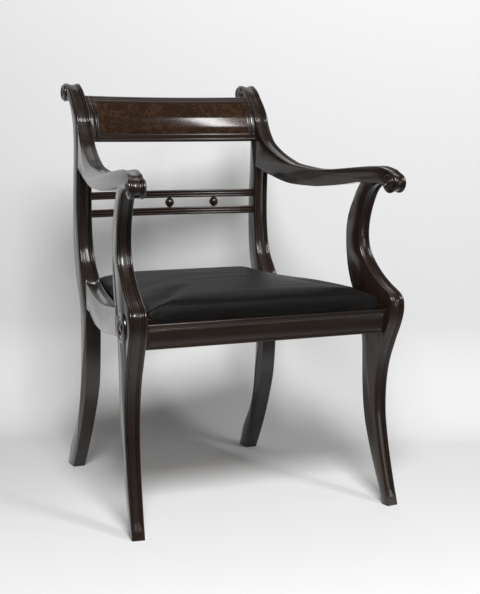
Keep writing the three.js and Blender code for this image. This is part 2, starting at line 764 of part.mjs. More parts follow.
// Front leg, arm support and arm, all in the splayed plane
function legPoint(along, height, reed, into) {
  const up = Math.min(height / rail_top, 1);
  const over = Math.max((height - rail_top) / (support_joint_height - rail_top), 0);
  const swell = leg_foot_width + (leg_width - leg_foot_width) * legSwell(up);
  const width = swell + (support_width - swell) * Math.min(over, 1);
  const near = (support_width - width) / 2;
  return { along, height, near, far: near + width, reed, into };
}

function legProfile() {
  const border = foot_border + reed_fade;
  const front = spread(border, support_joint_height, leg_steps);
  const leg_under = leg_back_shares[leg_back_shares.length - 1][0] * arm_height;
  const crook = support_back_shares[0][0] * arm_height;
  return [
    legPoint(legFront(0), 0, 0),
    legPoint(legFront(foot_border), foot_border, 0),
    ...front.slice(0, -1).map((height) => legPoint(legFront(height), height, 1)),
    legPoint(legFront(support_joint_height), support_joint_height, 1, [-1, 0]),
    ...spread(support_joint_height, crook, support_steps).map((height) => (
      legPoint(supportBack(height), height, 0)
    )),
    legPoint(supportBack(crook), joint_top + clearance, 0),
    legPoint(leg_shoulder + clearance, joint_top + clearance, 0),
    legPoint(leg_shoulder + clearance, joint_bottom, 0),
    ...spread(leg_under, 0, support_steps + 2).map((height) => legPoint(legBack(height), height, 0)),
  ];
}

function supportProfile() {
  const bottom = support_joint_height + clearance;
  const heights = spread(bottom, support_top, support_steps);
  const last = heights.length - 1;
  const reeded = heights.map((height, i) => {
    const into = i === 0 || i === last ? [-1, 0] : undefined;
    return legPoint(legFront(height), height, 1, into);
  });
  const plain = heights.map((height) => legPoint(supportBack(height), height, 0));
  return [...reeded, ...plain.reverse()];
}

function armPoint(along, height, reed, into) {
  return { along, height, near: 0, far: support_width + armExtra(along), reed, into };
}

function armRollPoints() {
  const first = arm_roll_shares[0][0];
  const last = arm_roll_shares[arm_roll_shares.length - 1][0];
  return spread(first, last, roll_steps).map((turn, i) => {
    const radius = armRoll(turn) * arm_roll_radius;
    const angle = -turn * Math.PI * 2;
    const along = arm_roll_forward + radius * Math.cos(angle);
    return armPoint(along, arm_roll_height + radius * Math.sin(angle), i < roll_steps ? 1 : 0);
  });
}

function armProfile() {
  const start = arm_joint - overrun;
  const under_end = arm_bottom_shares[arm_bottom_shares.length - 1][0] * frame_depth;
  const top_end = arm_top_shares[arm_top_shares.length - 1][0] * frame_depth;
  const feather = arm_joint + arm_feather;
  const notch = arm_roll_forward - arm_roll_radius - overrun;
  const top = [...spread(feather, top_end, arm_steps)].reverse();
  const bottom = spread(start, under_end, Math.round(arm_steps / 2));
  return [
    ...bottom.map((along) => armPoint(along, armBottom(along), 0)),
    armPoint(notch - overrun, arm_seat_height, 0),
    armPoint(notch, arm_seat_height + arm_feather, 0),
    ...[...armRollPoints()].reverse(),
    ...top.slice(1).map((along) => armPoint(along, armTop(along), 1)),
    armPoint(start, armTop(feather), 1, [0, -1]),
  ];
}

// Side rail
function railPoint(share, height, reed, into) {
  const along = side_rail_joint + (leg_shoulder - side_rail_joint) * share;
  return { along, height, near: 0, far: 1, reed, into };
}

function sideRailProfile() {
  const length = leg_shoulder - side_rail_joint;
  const end_gap = clearance / length;
  const shares = spread(end_gap, 1, rail_steps);
  const last = shares.length - 1;
  const bottom = shares.map((share) => railPoint(share, rail_top - side_rail_sag * railBottom(share), 0));
  const top = shares.map((share, i) => {
    const into = i === 0 || i === last ? [0, -1] : undefined;
    return railPoint(share, rail_top + side_rail_rise * railTop(share), 1, into);
  });
  return [...bottom, ...top.reverse()];
}

function sideRail(side) {
  const place = inRail(side);
  const ledge_end = front_block_start - clearance * 4;
  const ledge = oblong(rear_block_end, ledge_end, ledge_top - ledge_height, ledge_top);
  const ledge_near_share = 1 - overrun / leg_width;
  const ledge_far_share = 1 + ledge_width / leg_width;
  return solid(loftAcross(sideRailProfile(), place))
    .add(solid(blockAcross(ledge, ledge_near_share, ledge_far_share, place)))
    .add(railTenon(rail_rear_tenon, side))
    .add(railTenon(rail_front_tenon, side));
}

// Front rail: rings whose ends lie along the legs' inner faces
const front_rail_bottom = rail_top - front_rail_height;
const front_rail_back = front_rail_forward - front_rail_thickness;
const front_lip_back = front_rail_forward - front_rail_lip;

function frontRailFace(share) {
  return front_rail_forward - front_rail_lean * (1 - share);
}

function frontRailSection(depth) {
  const arris = front_rail_lip / 4;
  const scores = score_height_shares.flatMap((share) => {
    const middle = front_rail_bottom + front_rail_height * share;
    const half = score_width / 2;
    return [
      [frontRailFace(share), middle - half],
      [frontRailFace(share) - depth, middle],
      [frontRailFace(share), middle + half],
    ];
  });
  return [
    [frontRailFace(0), front_rail_bottom],
    ...scores,
    [front_rail_forward, rail_top - arris],
    [front_rail_forward - arris, rail_top],
    [front_lip_back, rail_top],
    [front_lip_back, ledge_top],
    [front_rail_back, ledge_top],
    [front_rail_back, front_rail_bottom],
  ];
}

function frontRailRing(side, inset, depth) {
  return frontRailSection(depth).map(([forward, height]) => [
    side * (innerFace(forward) - clearance - inset), middle_forward - forward, height,
  ]);
}

const front_tenon_depth = front_rail_back + front_rail_thickness / 2;
const rail_tenon_low = front_rail_bottom + tenon_margin;

function frontTenon(side, gap) {
  const middle = middle_forward - front_tenon_depth;
  const half = tenon_thickness / 2 + gap;
  const start = innerFace(front_tenon_depth) - overrun * 2;
  const end = innerFace(front_tenon_depth) + tenon_length + gap;
  return solid(box(
    [side > 0 ? start : -end, middle - half, rail_tenon_low - gap],
    [side > 0 ? end : -start, middle + half, ledge_top - overrun + gap],
  ));
}

function frontRail() {
  return solid(loftAlong([
    frontRailRing(1, 0, 0),
    frontRailRing(1, score_stop, 0),
    frontRailRing(1, score_stop + score_width, score_depth),
    frontRailRing(-1, score_stop + score_width, score_depth),
    frontRailRing(-1, score_stop, 0),
    frontRailRing(-1, 0, 0),
  ])).add(frontTenon(1, 0)).add(frontTenon(-1, 0));
}

// Rear rail: its back follows the posts' backs, and the drop-in seat lies on its top
const rear_rail_bottom = ledge_top - rear_rail_height;
const rear_rail_front = postBack(ledge_top) + rear_rail_set_in + rear_rail_thickness;

function rearTenon(side, gap) {
  const middle = middle_forward - rear_rail_front + rear_rail_thickness / 2;
  const half = tenon_thickness / 2 + gap;
  const start = crest_half - overrun;
  const end = crest_half + tenon_length + gap;
  return solid(box(
    [side > 0 ? start : -end, middle - half, rear_rail_bottom + overrun - gap],
    [side > 0 ? end : -start, middle + half, ledge_top - overrun + gap],
  ));
}

function rearRail() {
  const ring = (x) => [
    [x, middle_forward - rear_rail_front, rear_rail_bottom],
    [x, middle_forward - rear_rail_front, ledge_top],
    [x, middle_forward - postBack(ledge_top) - rear_rail_set_in, ledge_top],
    [x, middle_forward - postBack(rear_rail_bottom) - rear_rail_set_in, rear_rail_bottom],
  ];
  return solid(loftAlong([ring(crest_half), ring(-crest_half)])).add(rearTenon(1, 0)).add(rearTenon(-1, 0));
}

// Glue blocks stand in the four corners, level with the ledges
const rear_block_end = rear_rail_front + clearance * 2 + rear_block_leg;
const front_block_start = front_rail_back - clearance * 2 - front_block_leg;

function cornerBlock(side, corner, toward, leg) {
  const end = corner + toward * leg;
  const gap = clearance * 2;
  const plan = [
    ...[corner, ...bendsBetween(corner, end), end].map((forward) => [innerFace(forward) - gap, forward]),
    [innerFace(corner) - leg, corner],
  ];
  const shape = new THREE.Shape(plan.map(([x, forward]) => new THREE.Vector2(side * x, middle_forward - forward)));
  const block = new THREE.ExtrudeGeometry(shape, { depth: block_height, bevelEnabled: false });
  return block.translate(0, 0, ledge_top - clearance - block_height);
}

// Turned roundels, seated on the flat sides of the scrolls and the knees
function roundel(name, radius, thickness, place, turn) {
  const profile = [
    ...roundel_shares.map(([across, up]) => [across * radius, up * thickness]),
    [radius, 0], [0, 0],
  ].map(([across, up]) => new THREE.Vector2(across, up));
  const mesh = piece(name, new THREE.LatheGeometry(profile.reverse(), roundel_sides), mahogany);
  mesh.position.set(...place);
  mesh.rotation.z = turn;
  return mesh;
}

function frameSide(side) {
  const name = side > 0 ? 'left' : 'right';
  const group = new THREE.Group();
  const post_place = inPost(side);
  const splay_place = inSplay(side);
  const outward = -side * Math.PI / 2;
  const tilt = side * splay;

  const post = [
    tenon(arm_tenon, tenon_near, tenon_far, splay_place, clearance),
    railTenon(rail_rear_tenon, side, clearance),
    crestMortise(side),
    rodTenon(side, upper_rod_height, clearance),
    rodTenon(side, lower_rod_height, clearance),
    rearTenon(side, clearance),
  ].reduce((body, cutter) => body.subtract(cutter), solid(loftAcross(postProfile(), post_place)));

  const leg = solid(loftAcross(legProfile(), splay_place))
    .add(tenon(support_tenon, middle_near, middle_far, splay_place))
    .subtract(railTenon(rail_front_tenon, side, clearance))
    .subtract(frontTenon(side, clearance));

  const support = solid(loftAcross(supportProfile(), splay_place))
    .add(tenon(support_top_tenon, middle_near, middle_far, splay_place))
    .subtract(tenon(support_tenon, middle_near, middle_far, splay_place, clearance));

  const arm = solid(loftAcross(armProfile(), splay_place))
    .subtract(postCutter(side))
    .add(tenon(arm_tenon, tenon_near, tenon_far, splay_place))
    .subtract(tenon(support_top_tenon, middle_near, middle_far, splay_place, clearance));

  group.add(piece(`rear_post_${name}`, post, mahogany));
  group.add(piece(`front_leg_${name}`, leg, mahogany));
  group.add(piece(`arm_support_${name}`, support, mahogany));
  group.add(piece(`arm_${name}`, arm, mahogany));
  group.add(piece(`side_rail_${name}`, sideRail(side), mahogany));

  const crest_eye = [-crest_roll_set_back, crest_roll_height];
  const crest_faces = [['outer', -clearance, outward], ['inner', post_width + clearance, -outward]];
  for (const [face, inward, turn] of crest_faces) {
    const place = post_place(...crest_eye, inward);
    const full_name = `crest_roundel_${face}_${name}`;
    group.add(roundel(full_name, crest_roundel_radius, small_roundel_thickness, place, turn));
  }
  const arm_eye = [arm_roll_forward, arm_roll_height];
  const arm_faces = [
    ['outer', -clearance, outward + tilt],
    ['inner', support_width + clearance, tilt - outward],
  ];
  for (const [face, inward, turn] of arm_faces) {
    const place = splay_place(...arm_eye, inward);
    const full_name = `arm_roundel_${face}_${name}`;
    group.add(roundel(full_name, arm_roundel_radius, small_roundel_thickness, place, turn));
  }
  const knee = splay_place(knee_roundel_forward, knee_roundel_height, leg_near - clearance);
  const knee_turn = outward + tilt;
  group.add(roundel(`knee_roundel_${name}`, knee_roundel_radius, knee_roundel_thickness, knee, knee_turn));

  const rear_corner = rear_rail_front + clearance;
  const front_corner = front_rail_back - clearance;
  const rear_block = cornerBlock(side, rear_corner, 1, rear_block_leg);
  const front_block = cornerBlock(side, front_corner, -1, front_block_leg);
  group.add(piece(`rear_corner_block_${name}`, rear_block, inner_wood));
  group.add(piece(`front_corner_block_${name}`, front_block, inner_wood));
  return group;
}

// Drop-in seat: a jointed frame, webbing, sackcloth, stuffing and a haircloth cover
const seat_front = front_lip_back - seat_clearance;
const seat_bottom = ledge_top + clearance;
const seat_frame_top = seat_bottom + seat_frame_thickness;
const seat_frame_inset = cushion_draw_in + cover_thickness + clearance;
const web_base = seat_frame_top + clearance;
const web_rise = web_thickness + clearance * 2;
const sacking_bottom = web_base + web_rise + web_thickness + clearance;
const cushion_base = sacking_bottom + sacking_thickness + soft_clearance;
const cushion_edge_top = rail_top + cushion_edge_height;
const seat_middle = (postBack(rail_top) + seat_front) / 2;

function seatSide(forward, inset) {
  return innerFace(forward) - seat_clearance - inset;
}

// A softened corner between two straight edges
function softCorner(start, corner, end) {
  return spread(0, 1, corner_steps).map((t) => start.map((value, i) => (
    value * (1 - t) ** 2 + corner[i] * 2 * t * (1 - t) + end[i] * t * t
  )));
}

// Plan of the seat at a height, moved in by an inset: its back follows the backs of the posts
function seatPlan(inset, height) {
  const rear = postBack(height) + rear_rail_set_in + inset;
  const front = seat_front - inset;
  const rear_side = seatSide(rear, inset);
  const front_side = seatSide(front, inset);
  const turn = front - seat_corner;
  const half = [
    ...spread(0, rear_side - seat_corner, plan_steps).slice(0, -1).map((x) => [x, rear]),
    ...softCorner([rear_side - seat_corner, rear], [rear_side, rear], [rear_side, rear + seat_corner]),
    [seatSide(side_rail_joint, inset), side_rail_joint],
    ...spread(side_rail_joint, leg_inner_start, plan_steps * 2).slice(1).map((place) => (
      [seatSide(place, inset), place]
    )),
    ...softCorner([seatSide(turn, inset), turn], [front_side, front], [front_side - seat_corner, front]),
    ...spread(front_side - seat_corner, 0, plan_steps).slice(1).map((x) => [x, front]),
  ];
  return [...half, ...half.slice(1, -1).reverse().map(([x, forward]) => [-x, forward])];
}

// The cushion falls away toward its front corners, and less the lower it gets
const corner_side_power = 4;
const corner_front_power = 8;
function cornerDrop(x, forward, height) {
  const across = Math.min(Math.abs(x) / seatSide(forward, 0), 1);
  const deep = forward / seat_front;
  const up = Math.max((height - cushion_base) / (cushion_edge_top - cushion_base), 0);
  return cushion_corner_drop * across ** corner_side_power * deep ** corner_front_power * up;
}

// A cushion solid: plan rings up the sides and over the rolled edge, then rings shrinking to the crown.
// It is moved in by inset, with its top lowered as much
function cushionForm(inset, bottom) {
  const roll = cushion_roll - inset;
  const edge = cushion_edge_top - inset;
  const levels = [
    [cushion_draw_in + inset, bottom],
    [cushion_draw_in + inset, Math.max(seat_frame_top, bottom + clearance)],
    ...spread(0, Math.PI / 2, corner_steps).map((angle) => (
      [inset + roll * (1 - Math.cos(angle)), edge - roll * (1 - Math.sin(angle))]
    )),
  ];
  const rings = levels.map(([move, height]) => seatPlan(move, height).map(([x, forward]) => (
    [x, middle_forward - forward, height - cornerDrop(x, forward, height)]
  )));
  const rim = rings[rings.length - 1];
  for (const share of cushion_ring_shares) {
    rings.push(rim.map(([x, y, height]) => [
      x * share, middle_forward - seat_middle + (y - middle_forward + seat_middle) * share,
      edge - (edge - height) * share ** corner_side_power + cushion_crown * (1 - share * share),
    ]));
  }
  const faces = [];
  const count = rim.length;
  const numbers = rings.map((ring, i) => ring.map((_, k) => i * count + k));
  for (let i = 1; i < rings.length; i += 1) {
    bridge([...numbers[i - 1], numbers[i - 1][0]], [...numbers[i], numbers[i][0]], faces);
  }
  const top = rings.length * count;
  const last = numbers[numbers.length - 1];
  last.forEach((number, k) => faces.push([number, top, last[(k + 1) % count]]));
  fill(rings[0], numbers[0], 1, faces);
  return closed([...rings.flat(2), 0, middle_forward - seat_middle, edge + cushion_crown], faces);
}

function slab(plan, low, high) {
  const shape = new THREE.Shape(plan.map(([x, forward]) => new THREE.Vector2(x, middle_forward - forward)));
  const depth = high - low;
  return new THREE.ExtrudeGeometry(shape, { depth, bevelEnabled: false }).translate(0, 0, low);
}

// Rails of the seat frame: front and rear run through, and the side rails are tenoned between them
const frame_rear = postBack(ledge_top) + rear_rail_set_in + seat_frame_inset;
const frame_front = seat_front - seat_frame_inset;
const frame_side_start = frame_rear + seat_frame_width;
const frame_side_end = frame_front - seat_frame_width;

// A front or rear rail of the seat frame, from its inner edge to its outer edge, whose corners are cut off
function crossRail(inner, outer) {
  const cut = outer - Math.sign(outer - inner) * seat_corner;
  const half = [inner, ...bendsBetween(inner, cut), cut].map((forward) => (
    [seatSide(forward, seat_frame_inset), forward]
  ));
  half.push([seatSide(outer, seat_frame_inset) - seat_corner, outer]);
  const plan = [...half, ...half.map(([x, forward]) => [-x, forward]).reverse()];
  return solid(slab(plan, seat_bottom, seat_frame_top));
}

function sideTenon(side, forward, toward, gap) {
  const middle = side * (seatSide(forward, seat_frame_inset) - seat_frame_width / 2);
  const half = seat_frame_width / 4 + gap;
  const mid_height = (seat_bottom + seat_frame_top) / 2;
  const half_height = tenon_thickness / 2 + gap;
  const near = forward - toward * overrun;
  const far = forward + toward * (tenon_length + gap);
  return solid(box(
    [middle - half, middle_forward - Math.max(near, far), mid_height - half_height],
    [middle + half, middle_forward - Math.min(near, far), mid_height + half_height],
  ));
}

function seatSideRail(side) {
  const start = frame_side_start + clearance;
  const end = frame_side_end - clearance;
  const places = [start, ...bendsBetween(start, end), end];
  const edge = (inset) => places.map((forward) => [
    side * (seatSide(forward, seat_frame_inset) - inset), forward,
  ]);
  return solid(slab([...edge(0), ...edge(seat_frame_width).reverse()], seat_bottom, seat_frame_top))
    .add(sideTenon(side, start, -1, 0))
    .add(sideTenon(side, end, 1, 0));
}

// A web of a given length, woven over and under at its crossings, which are [place, height] along it
function webGeometry(length, crossings) {
  const half = web_width / 2 + overrun / 2;
  const stations = [
    [length / 2, 0], ...crossings.flatMap(([place, lift]) => [[place + half, lift], [place - half, lift]]),
    [-length / 2, 0],
  ];
  return loftAlong(stations.map(([x, lift]) => [
    [x, -web_width / 2, lift], [x, web_width / 2, lift],
    [x, web_width / 2, lift + web_thickness], [x, -web_width / 2, lift + web_thickness],
  ]));
}

const web_hold = seat_frame_width / 2;
const web_first = (frame_side_start + frame_side_end) / 2;
const web_gap_deep = (frame_side_end - frame_side_start) / web_count;
const web_gap_wide = (seatSide(frame_side_start, seat_frame_inset) - seat_frame_width) * 2 / web_count;

function webs() {
  const group = new THREE.Group();
  const order = spread(-1, 1, web_count - 1);
  order.forEach((place, i) => {
    const crossings = order.map((other, k) => [-other * web_gap_deep, (i + k) % 2 * web_rise]);
    const length = frame_side_end - frame_side_start + web_hold * 2;
    const long_web = piece(`lengthwise_web_${i + 1}`, webGeometry(length, crossings), hessian);
    long_web.rotation.z = Math.PI / 2;
    long_web.position.set(place * web_gap_wide, middle_forward - web_first, web_base);
    const across = order.map((other, k) => [-other * web_gap_wide, (i + k + 1) % 2 * web_rise]);
    const forward = web_first + place * web_gap_deep;
    const width = (seatSide(forward - web_width / 2, seat_frame_inset) - seat_frame_width + web_hold) * 2;
    const cross_web = piece(`crosswise_web_${i + 1}`, webGeometry(width, across), hessian);
    cross_web.position.set(0, middle_forward - forward, web_base);
    group.add(long_web, cross_web);
  });
  return group;
}

function dropInSeat() {
  const group = new THREE.Group();
  const rear = crossRail(frame_side_start, frame_rear);
  const front = crossRail(frame_side_end, frame_front);
  const mortises = (body, forward, toward) => [1, -1].reduce((cut, side) => (
    cut.subtract(sideTenon(side, forward, toward, clearance))
  ), body);
  group.add(piece('seat_frame_rear', mortises(rear, frame_side_start + clearance, -1), inner_wood));
  group.add(piece('seat_frame_front', mortises(front, frame_side_end - clearance, 1), inner_wood));
  group.add(piece('seat_frame_left', seatSideRail(1), inner_wood));
  group.add(piece('seat_frame_right', seatSideRail(-1), inner_wood));
  group.add(webs());
  const sacking_top = sacking_bottom + sacking_thickness;
  const sacking = slab(seatPlan(seat_frame_inset, seat_frame_top), sacking_bottom, sacking_top);
  group.add(piece('sackcloth', sacking, hessian));
  const stuffing = cushionForm(cover_thickness + soft_clearance, cushion_base);
  group.add(piece('stuffing', stuffing, curled_hair));
  const cavity = solid(cushionForm(cover_thickness, seat_bottom - overrun));
  const cover = solid(cushionForm(0, seat_bottom)).subtract(cavity);
  group.add(piece('haircloth_cover', cover, haircloth));
  return group;
}

const chair = new THREE.Group();
chair.add(frameSide(1), frameSide(-1));
chair.add(piece('crest_rail', solid(crestRail()), mahogany));
chair.add(piece('crest_veneer', solid(crestVeneer()), crotch_mahogany));
chair.add(piece('upper_cross_rod', rod(upper_rod_height), mahogany));
chair.add(piece('lower_cross_rod', rod(lower_rod_height), mahogany));
['ball_right', 'ball_middle', 'ball_left'].forEach((name, i) => chair.add(ball(ball_places[i], name)));
chair.add(piece('front_rail', frontRail(), mahogany));
chair.add(piece('rear_rail', rearRail(), mahogany));
chair.add(dropInSeat());

export default chair;
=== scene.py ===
import math

import bmesh
import bpy
import numpy as np
from mathutils import Matrix, Quaternion, Vector


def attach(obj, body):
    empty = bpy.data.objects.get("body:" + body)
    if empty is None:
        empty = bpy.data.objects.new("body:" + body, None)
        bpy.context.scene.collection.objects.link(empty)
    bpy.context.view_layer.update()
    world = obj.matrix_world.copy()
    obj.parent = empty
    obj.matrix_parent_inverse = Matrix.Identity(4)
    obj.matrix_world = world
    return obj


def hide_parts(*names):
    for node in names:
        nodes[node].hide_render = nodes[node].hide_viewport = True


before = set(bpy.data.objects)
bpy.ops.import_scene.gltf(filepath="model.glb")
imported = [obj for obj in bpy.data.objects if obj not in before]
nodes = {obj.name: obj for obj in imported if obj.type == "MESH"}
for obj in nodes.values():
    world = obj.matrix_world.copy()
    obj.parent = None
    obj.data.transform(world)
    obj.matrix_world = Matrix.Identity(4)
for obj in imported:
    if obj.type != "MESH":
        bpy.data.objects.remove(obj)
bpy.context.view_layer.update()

# ---------------------------------------------------------------- the camera
# It stands in front of the chair, a little to the sitter's right and as high as the crest rail,
# where the photograph's vanishing points put it.
camera_place = Vector((-1.1500, -2.5387, 0.8224))
camera_yaw = math.radians(25.633)
camera_pitch = math.radians(8.608)
camera_roll = math.radians(0.680)

camera = bpy.data.cameras.new("camera")
camera.lens = 81.8
camera.sensor_width = 36
eye = bpy.data.objects.new("camera", camera)
bpy.context.scene.collection.objects.link(eye)
level_right = Vector((math.cos(camera_yaw), -math.sin(camera_yaw), 0))
forward = Vector((
    math.sin(camera_yaw) * math.cos(camera_pitch),
    math.cos(camera_yaw) * math.cos(camera_pitch),
    -math.sin(camera_pitch),
))
level_up = level_right.cross(forward)
right = level_right * math.cos(camera_roll) + level_up * math.sin(camera_roll)
up = level_up * math.cos(camera_roll) - level_right * math.sin(camera_roll)
turn = Matrix((right, up, -forward)).transposed()
eye.matrix_world = Matrix.Translation(camera_place) @ turn.to_4x4()
bpy.context.scene.camera = eye


# ---------------------------------------------------------------- floor and studio light
# A roll of pale paper runs under the chair and up behind it. A square key lamp and two tall window lamps stand
# in front, two weak ones lift the sitter's left side, and for all but the camera the room is dim.
def shader(material, inputs):
    """The material's Principled BSDF with plain values set on its own sockets."""
    material.use_nodes = True
    bsdf = material.node_tree.nodes["Principled BSDF"]
    for name, value in inputs.items():
        bsdf.inputs[name].default_value = value
    return bsdf


def node(tree, kind, inputs=None, **settings):
    """A node with its settings, and inputs that are values or sockets to link."""
    made = tree.nodes.new(kind)
    for key, value in settings.items():
        setattr(made, key, value)
    for key, value in (inputs or {}).items():
        if isinstance(value, bpy.types.NodeSocket):
            tree.links.new(value, made.inputs[key])
        else:
            made.inputs[key].default_value = value
    return made


def sums(tree, operation, *values):
    """The result of a sum on values or sockets."""
    return node(tree, "ShaderNodeMath", dict(enumerate(values)), operation=operation).outputs[0]


def ranged(tree, value, low=0.0, high=1.0, to_low=0.0, to_high=1.0, **settings):
    """A value brought from one range to another."""
    return node(tree, "ShaderNodeMapRange", {
        "Value": value, "From Min": low, "From Max": high, "To Min": to_low, "To Max": to_high,
    }, **settings).outputs[0]


def spot(tree):
    """The place on the object."""
    return node(tree, "ShaderNodeTexCoord").outputs["Object"]


def link(tree, target, outputs):
    """Links sockets to the named inputs of a node."""
    for name, socket in outputs.items():
        tree.links.new(socket, target.inputs[name])


paper_front, paper_bend, bend_radius, paper_top = -5.0, 0.345, 0.25, 4.0
paper_left, paper_right = -3.6, 3.6
paper = bmesh.new()
sweep = [(away, 0.0) for away in np.linspace(paper_front, paper_bend, 12)]
sweep += [
    (paper_bend + bend_radius * math.sin(a), bend_radius * (1 - math.cos(a)))
    for a in np.linspace(0, math.pi / 2, 25)[1:]
]
sweep.append((paper_bend + bend_radius, paper_top))
rows = [
    [
        paper.verts.new((
            across * math.cos(camera_yaw) + away * math.sin(camera_yaw),
            away * math.cos(camera_yaw) - across * math.sin(camera_yaw), height,
        ))
        for across in (paper_left, paper_right)
    ]
    for away, height in sweep
]
for near, far in zip(rows, rows[1:]):
    paper.faces.new((near[0], near[1], far[1], far[0])).smooth = True
paper_mesh = bpy.data.meshes.new("paper")
paper.to_mesh(paper_mesh)
paper.free()
floor = bpy.data.objects.new("floor", paper_mesh)
bpy.context.scene.collection.objects.link(floor)
paper_finish = bpy.data.materials.new("pale_paper")
paper_shader = shader(paper_finish, {"Roughness": 0.95, "Specular IOR Level": 0.1})
# The paper looks whiter to the camera and in the polish than it is for the light it throws back, its far parts
# lie in the dark of the room for all but the camera, and from behind it is clear, so that the chair can be seen
# from all round
paper_for_light, paper_for_eye, room_tone = 0.5, 0.86, 0.05
near_middle, near_reach, far_reach, far_tone = (0.0, 0.7, 0.5), 1.2, 1.7, 0.12
paper_tree = paper_finish.node_tree
ray = node(paper_tree, "ShaderNodeLightPath").outputs
bright = sums(paper_tree, "MAXIMUM", ray["Is Camera Ray"], ray["Is Glossy Ray"])
clearer = sums(paper_tree, "MAXIMUM", bright, ray["Is Transmission Ray"])
paper_tone = ranged(paper_tree, clearer, to_low=paper_for_light, to_high=paper_for_eye)
away = node(paper_tree, "ShaderNodeVectorMath", {0: spot(paper_tree), 1: near_middle}, operation="DISTANCE")
dimmed = ranged(paper_tree, away.outputs["Value"], near_reach, far_reach, 1.0, far_tone)
shown = sums(paper_tree, "MAXIMUM", dimmed, ray["Is Camera Ray"])
link(paper_tree, paper_shader, {"Base Color": sums(paper_tree, "MULTIPLY", paper_tone, shown)})
from_behind = node(paper_tree, "ShaderNodeNewGeometry").outputs["Backfacing"]
clear = node(paper_tree, "ShaderNodeBsdfTransparent").outputs[0]
paper_mix = node(paper_tree, "ShaderNodeMixShader", {"Fac": from_behind, 1: paper_shader.outputs[0], 2: clear})
link(paper_tree, paper_tree.nodes["Material Output"], {"Surface": paper_mix.outputs[0]})
paper_mesh.materials.append(paper_finish)

bpy.context.scene.view_settings.view_transform = "Standard"
world = bpy.data.worlds.new("studio")
bpy.context.scene.world = world
world.use_nodes = True
room = world.node_tree
room.nodes.clear()
room_for_eye, room_for_light = (
    node(room, "ShaderNodeBackground", {"Color": (tone, tone, tone, 1)}).outputs[0]
    for tone in (paper_for_eye, room_tone)
)
room_ray = node(room, "ShaderNodeLightPath").outputs["Is Camera Ray"]
either = node(room, "ShaderNodeMixShader", {"Fac": room_ray, 1: room_for_light, 2: room_for_eye})
node(room, "ShaderNodeOutputWorld", {"Surface": either.outputs[0]})


def lamp(name, place, aim, size, radiance, lean=0.0):
    """An oblong soft lamp that points at aim and shines with a radiance; its top may lean to the right."""
    light = bpy.data.lights.new(name, "AREA")
    light.shape = "RECTANGLE"
    light.size, light.size_y = size
    light.energy = radiance * math.pi * size[0] * size[1]
    holder = bpy.data.objects.new(name, light)
    holder.location = place
    pointing = (Vector(aim) - Vector(place)).to_track_quat("-Z", "Y")
    holder.rotation_euler = (pointing @ Quaternion((0, 0, 1), -lean)).to_euler()
    bpy.context.scene.collection.objects.link(holder)


chair_middle = (0.0, 0.0, 0.5)
lamp("key_lamp", (-0.81, -2.24, 2.64), chair_middle, (1.0, 1.0), 33)
lamp("window_lamp", (1.08, -2.5, 2.6), chair_middle, (0.2, 1.7), 24, lean=0.35)
lamp("second_lamp", (0.62, -2.5, 2.6), chair_middle, (0.2, 1.5), 6, lean=0.35)
lamp("side_lamp", (2.3, -1.9, 1.3), chair_middle, (0.5, 0.9), 2.5)
lamp("low_lamp", (1.9, -2.3, 0.35), chair_middle, (0.6, 0.6), 2.2)

# ---------------------------------------------------------------- rear posts
# Each post is one piece of mahogany: rear leg, stile and the scroll at the crest. Its front is worked
# with reeds above the seat, a broad band between two pairs of beads. The rails and the arm are tenoned in.
overall_height = 0.838
frame_depth = 0.566
rear_half = 0.225
front_half = 0.290
post_width = 0.032
post_foot_width = 0.026
post_taper_height = 0.2
crest_roll_radius = overall_height * 0.0233
crest_roll_set_back = frame_depth * 0.0203
crest_roll_height = overall_height - crest_roll_radius
rail_top = overall_height * 0.4797
side_rail_rise = overall_height * 0.0233
side_rail_sag = overall_height * 0.0626
arm_height = overall_height * 0.7942
leg_shoulder = frame_depth * 0.795
joint_share = 0.686
reed_depth = 0.0042
arris_radius = 0.0011
sharp_angle = math.radians(38)
spacing, fine_spacing, hair = 0.004, 0.003, 0.0005
reed_turn, reed_fade, roll_steps = 0.020, 0.016, 80
reed_end = overall_height * 0.967
sides = ((1, "left"), (-1, "right"))

post_front_shares = [
    (0, 0.067), (0.072, 0.124), (0.131, 0.163), (0.209, 0.205), (0.263, 0.221), (0.322, 0.2275),
    (0.382, 0.2285), (0.430, 0.2275), (0.480, 0.228), (0.503, 0.227), (0.518, 0.214), (0.537, 0.190),
    (0.555, 0.171), (0.579, 0.155), (0.600, 0.1475), (0.638, 0.139), (0.674, 0.135), (0.716, 0.1345),
    (0.764, 0.137), (0.811, 0.141), (0.853, 0.1445), (0.883, 0.142), (0.907, 0.134), (0.927, 0.119),
    (0.943, 0.101), (0.957, 0.0815), (0.970, 0.061),
]
post_back_shares = [
    (0, 0), (0.060, 0.041), (0.119, 0.100), (0.179, 0.138), (0.239, 0.155), (0.298, 0.162),
    (0.358, 0.164), (0.406, 0.161), (0.442, 0.153), (0.477, 0.134), (0.513, 0.110), (0.553, 0.0935),
    (0.597, 0.083), (0.650, 0.0785), (0.716, 0.081), (0.788, 0.0865), (0.835, 0.089), (0.865, 0.088),
    (0.889, 0.084), (0.909, 0.0755), (0.931, 0.061), (0.950, 0.043),
]
crest_roll_shares = [
    (-0.019, 2.37), (0.019, 1.89), (0.083, 1.39), (0.184, 1.09), (0.25, 1), (0.5, 1), (0.917, 1),
]


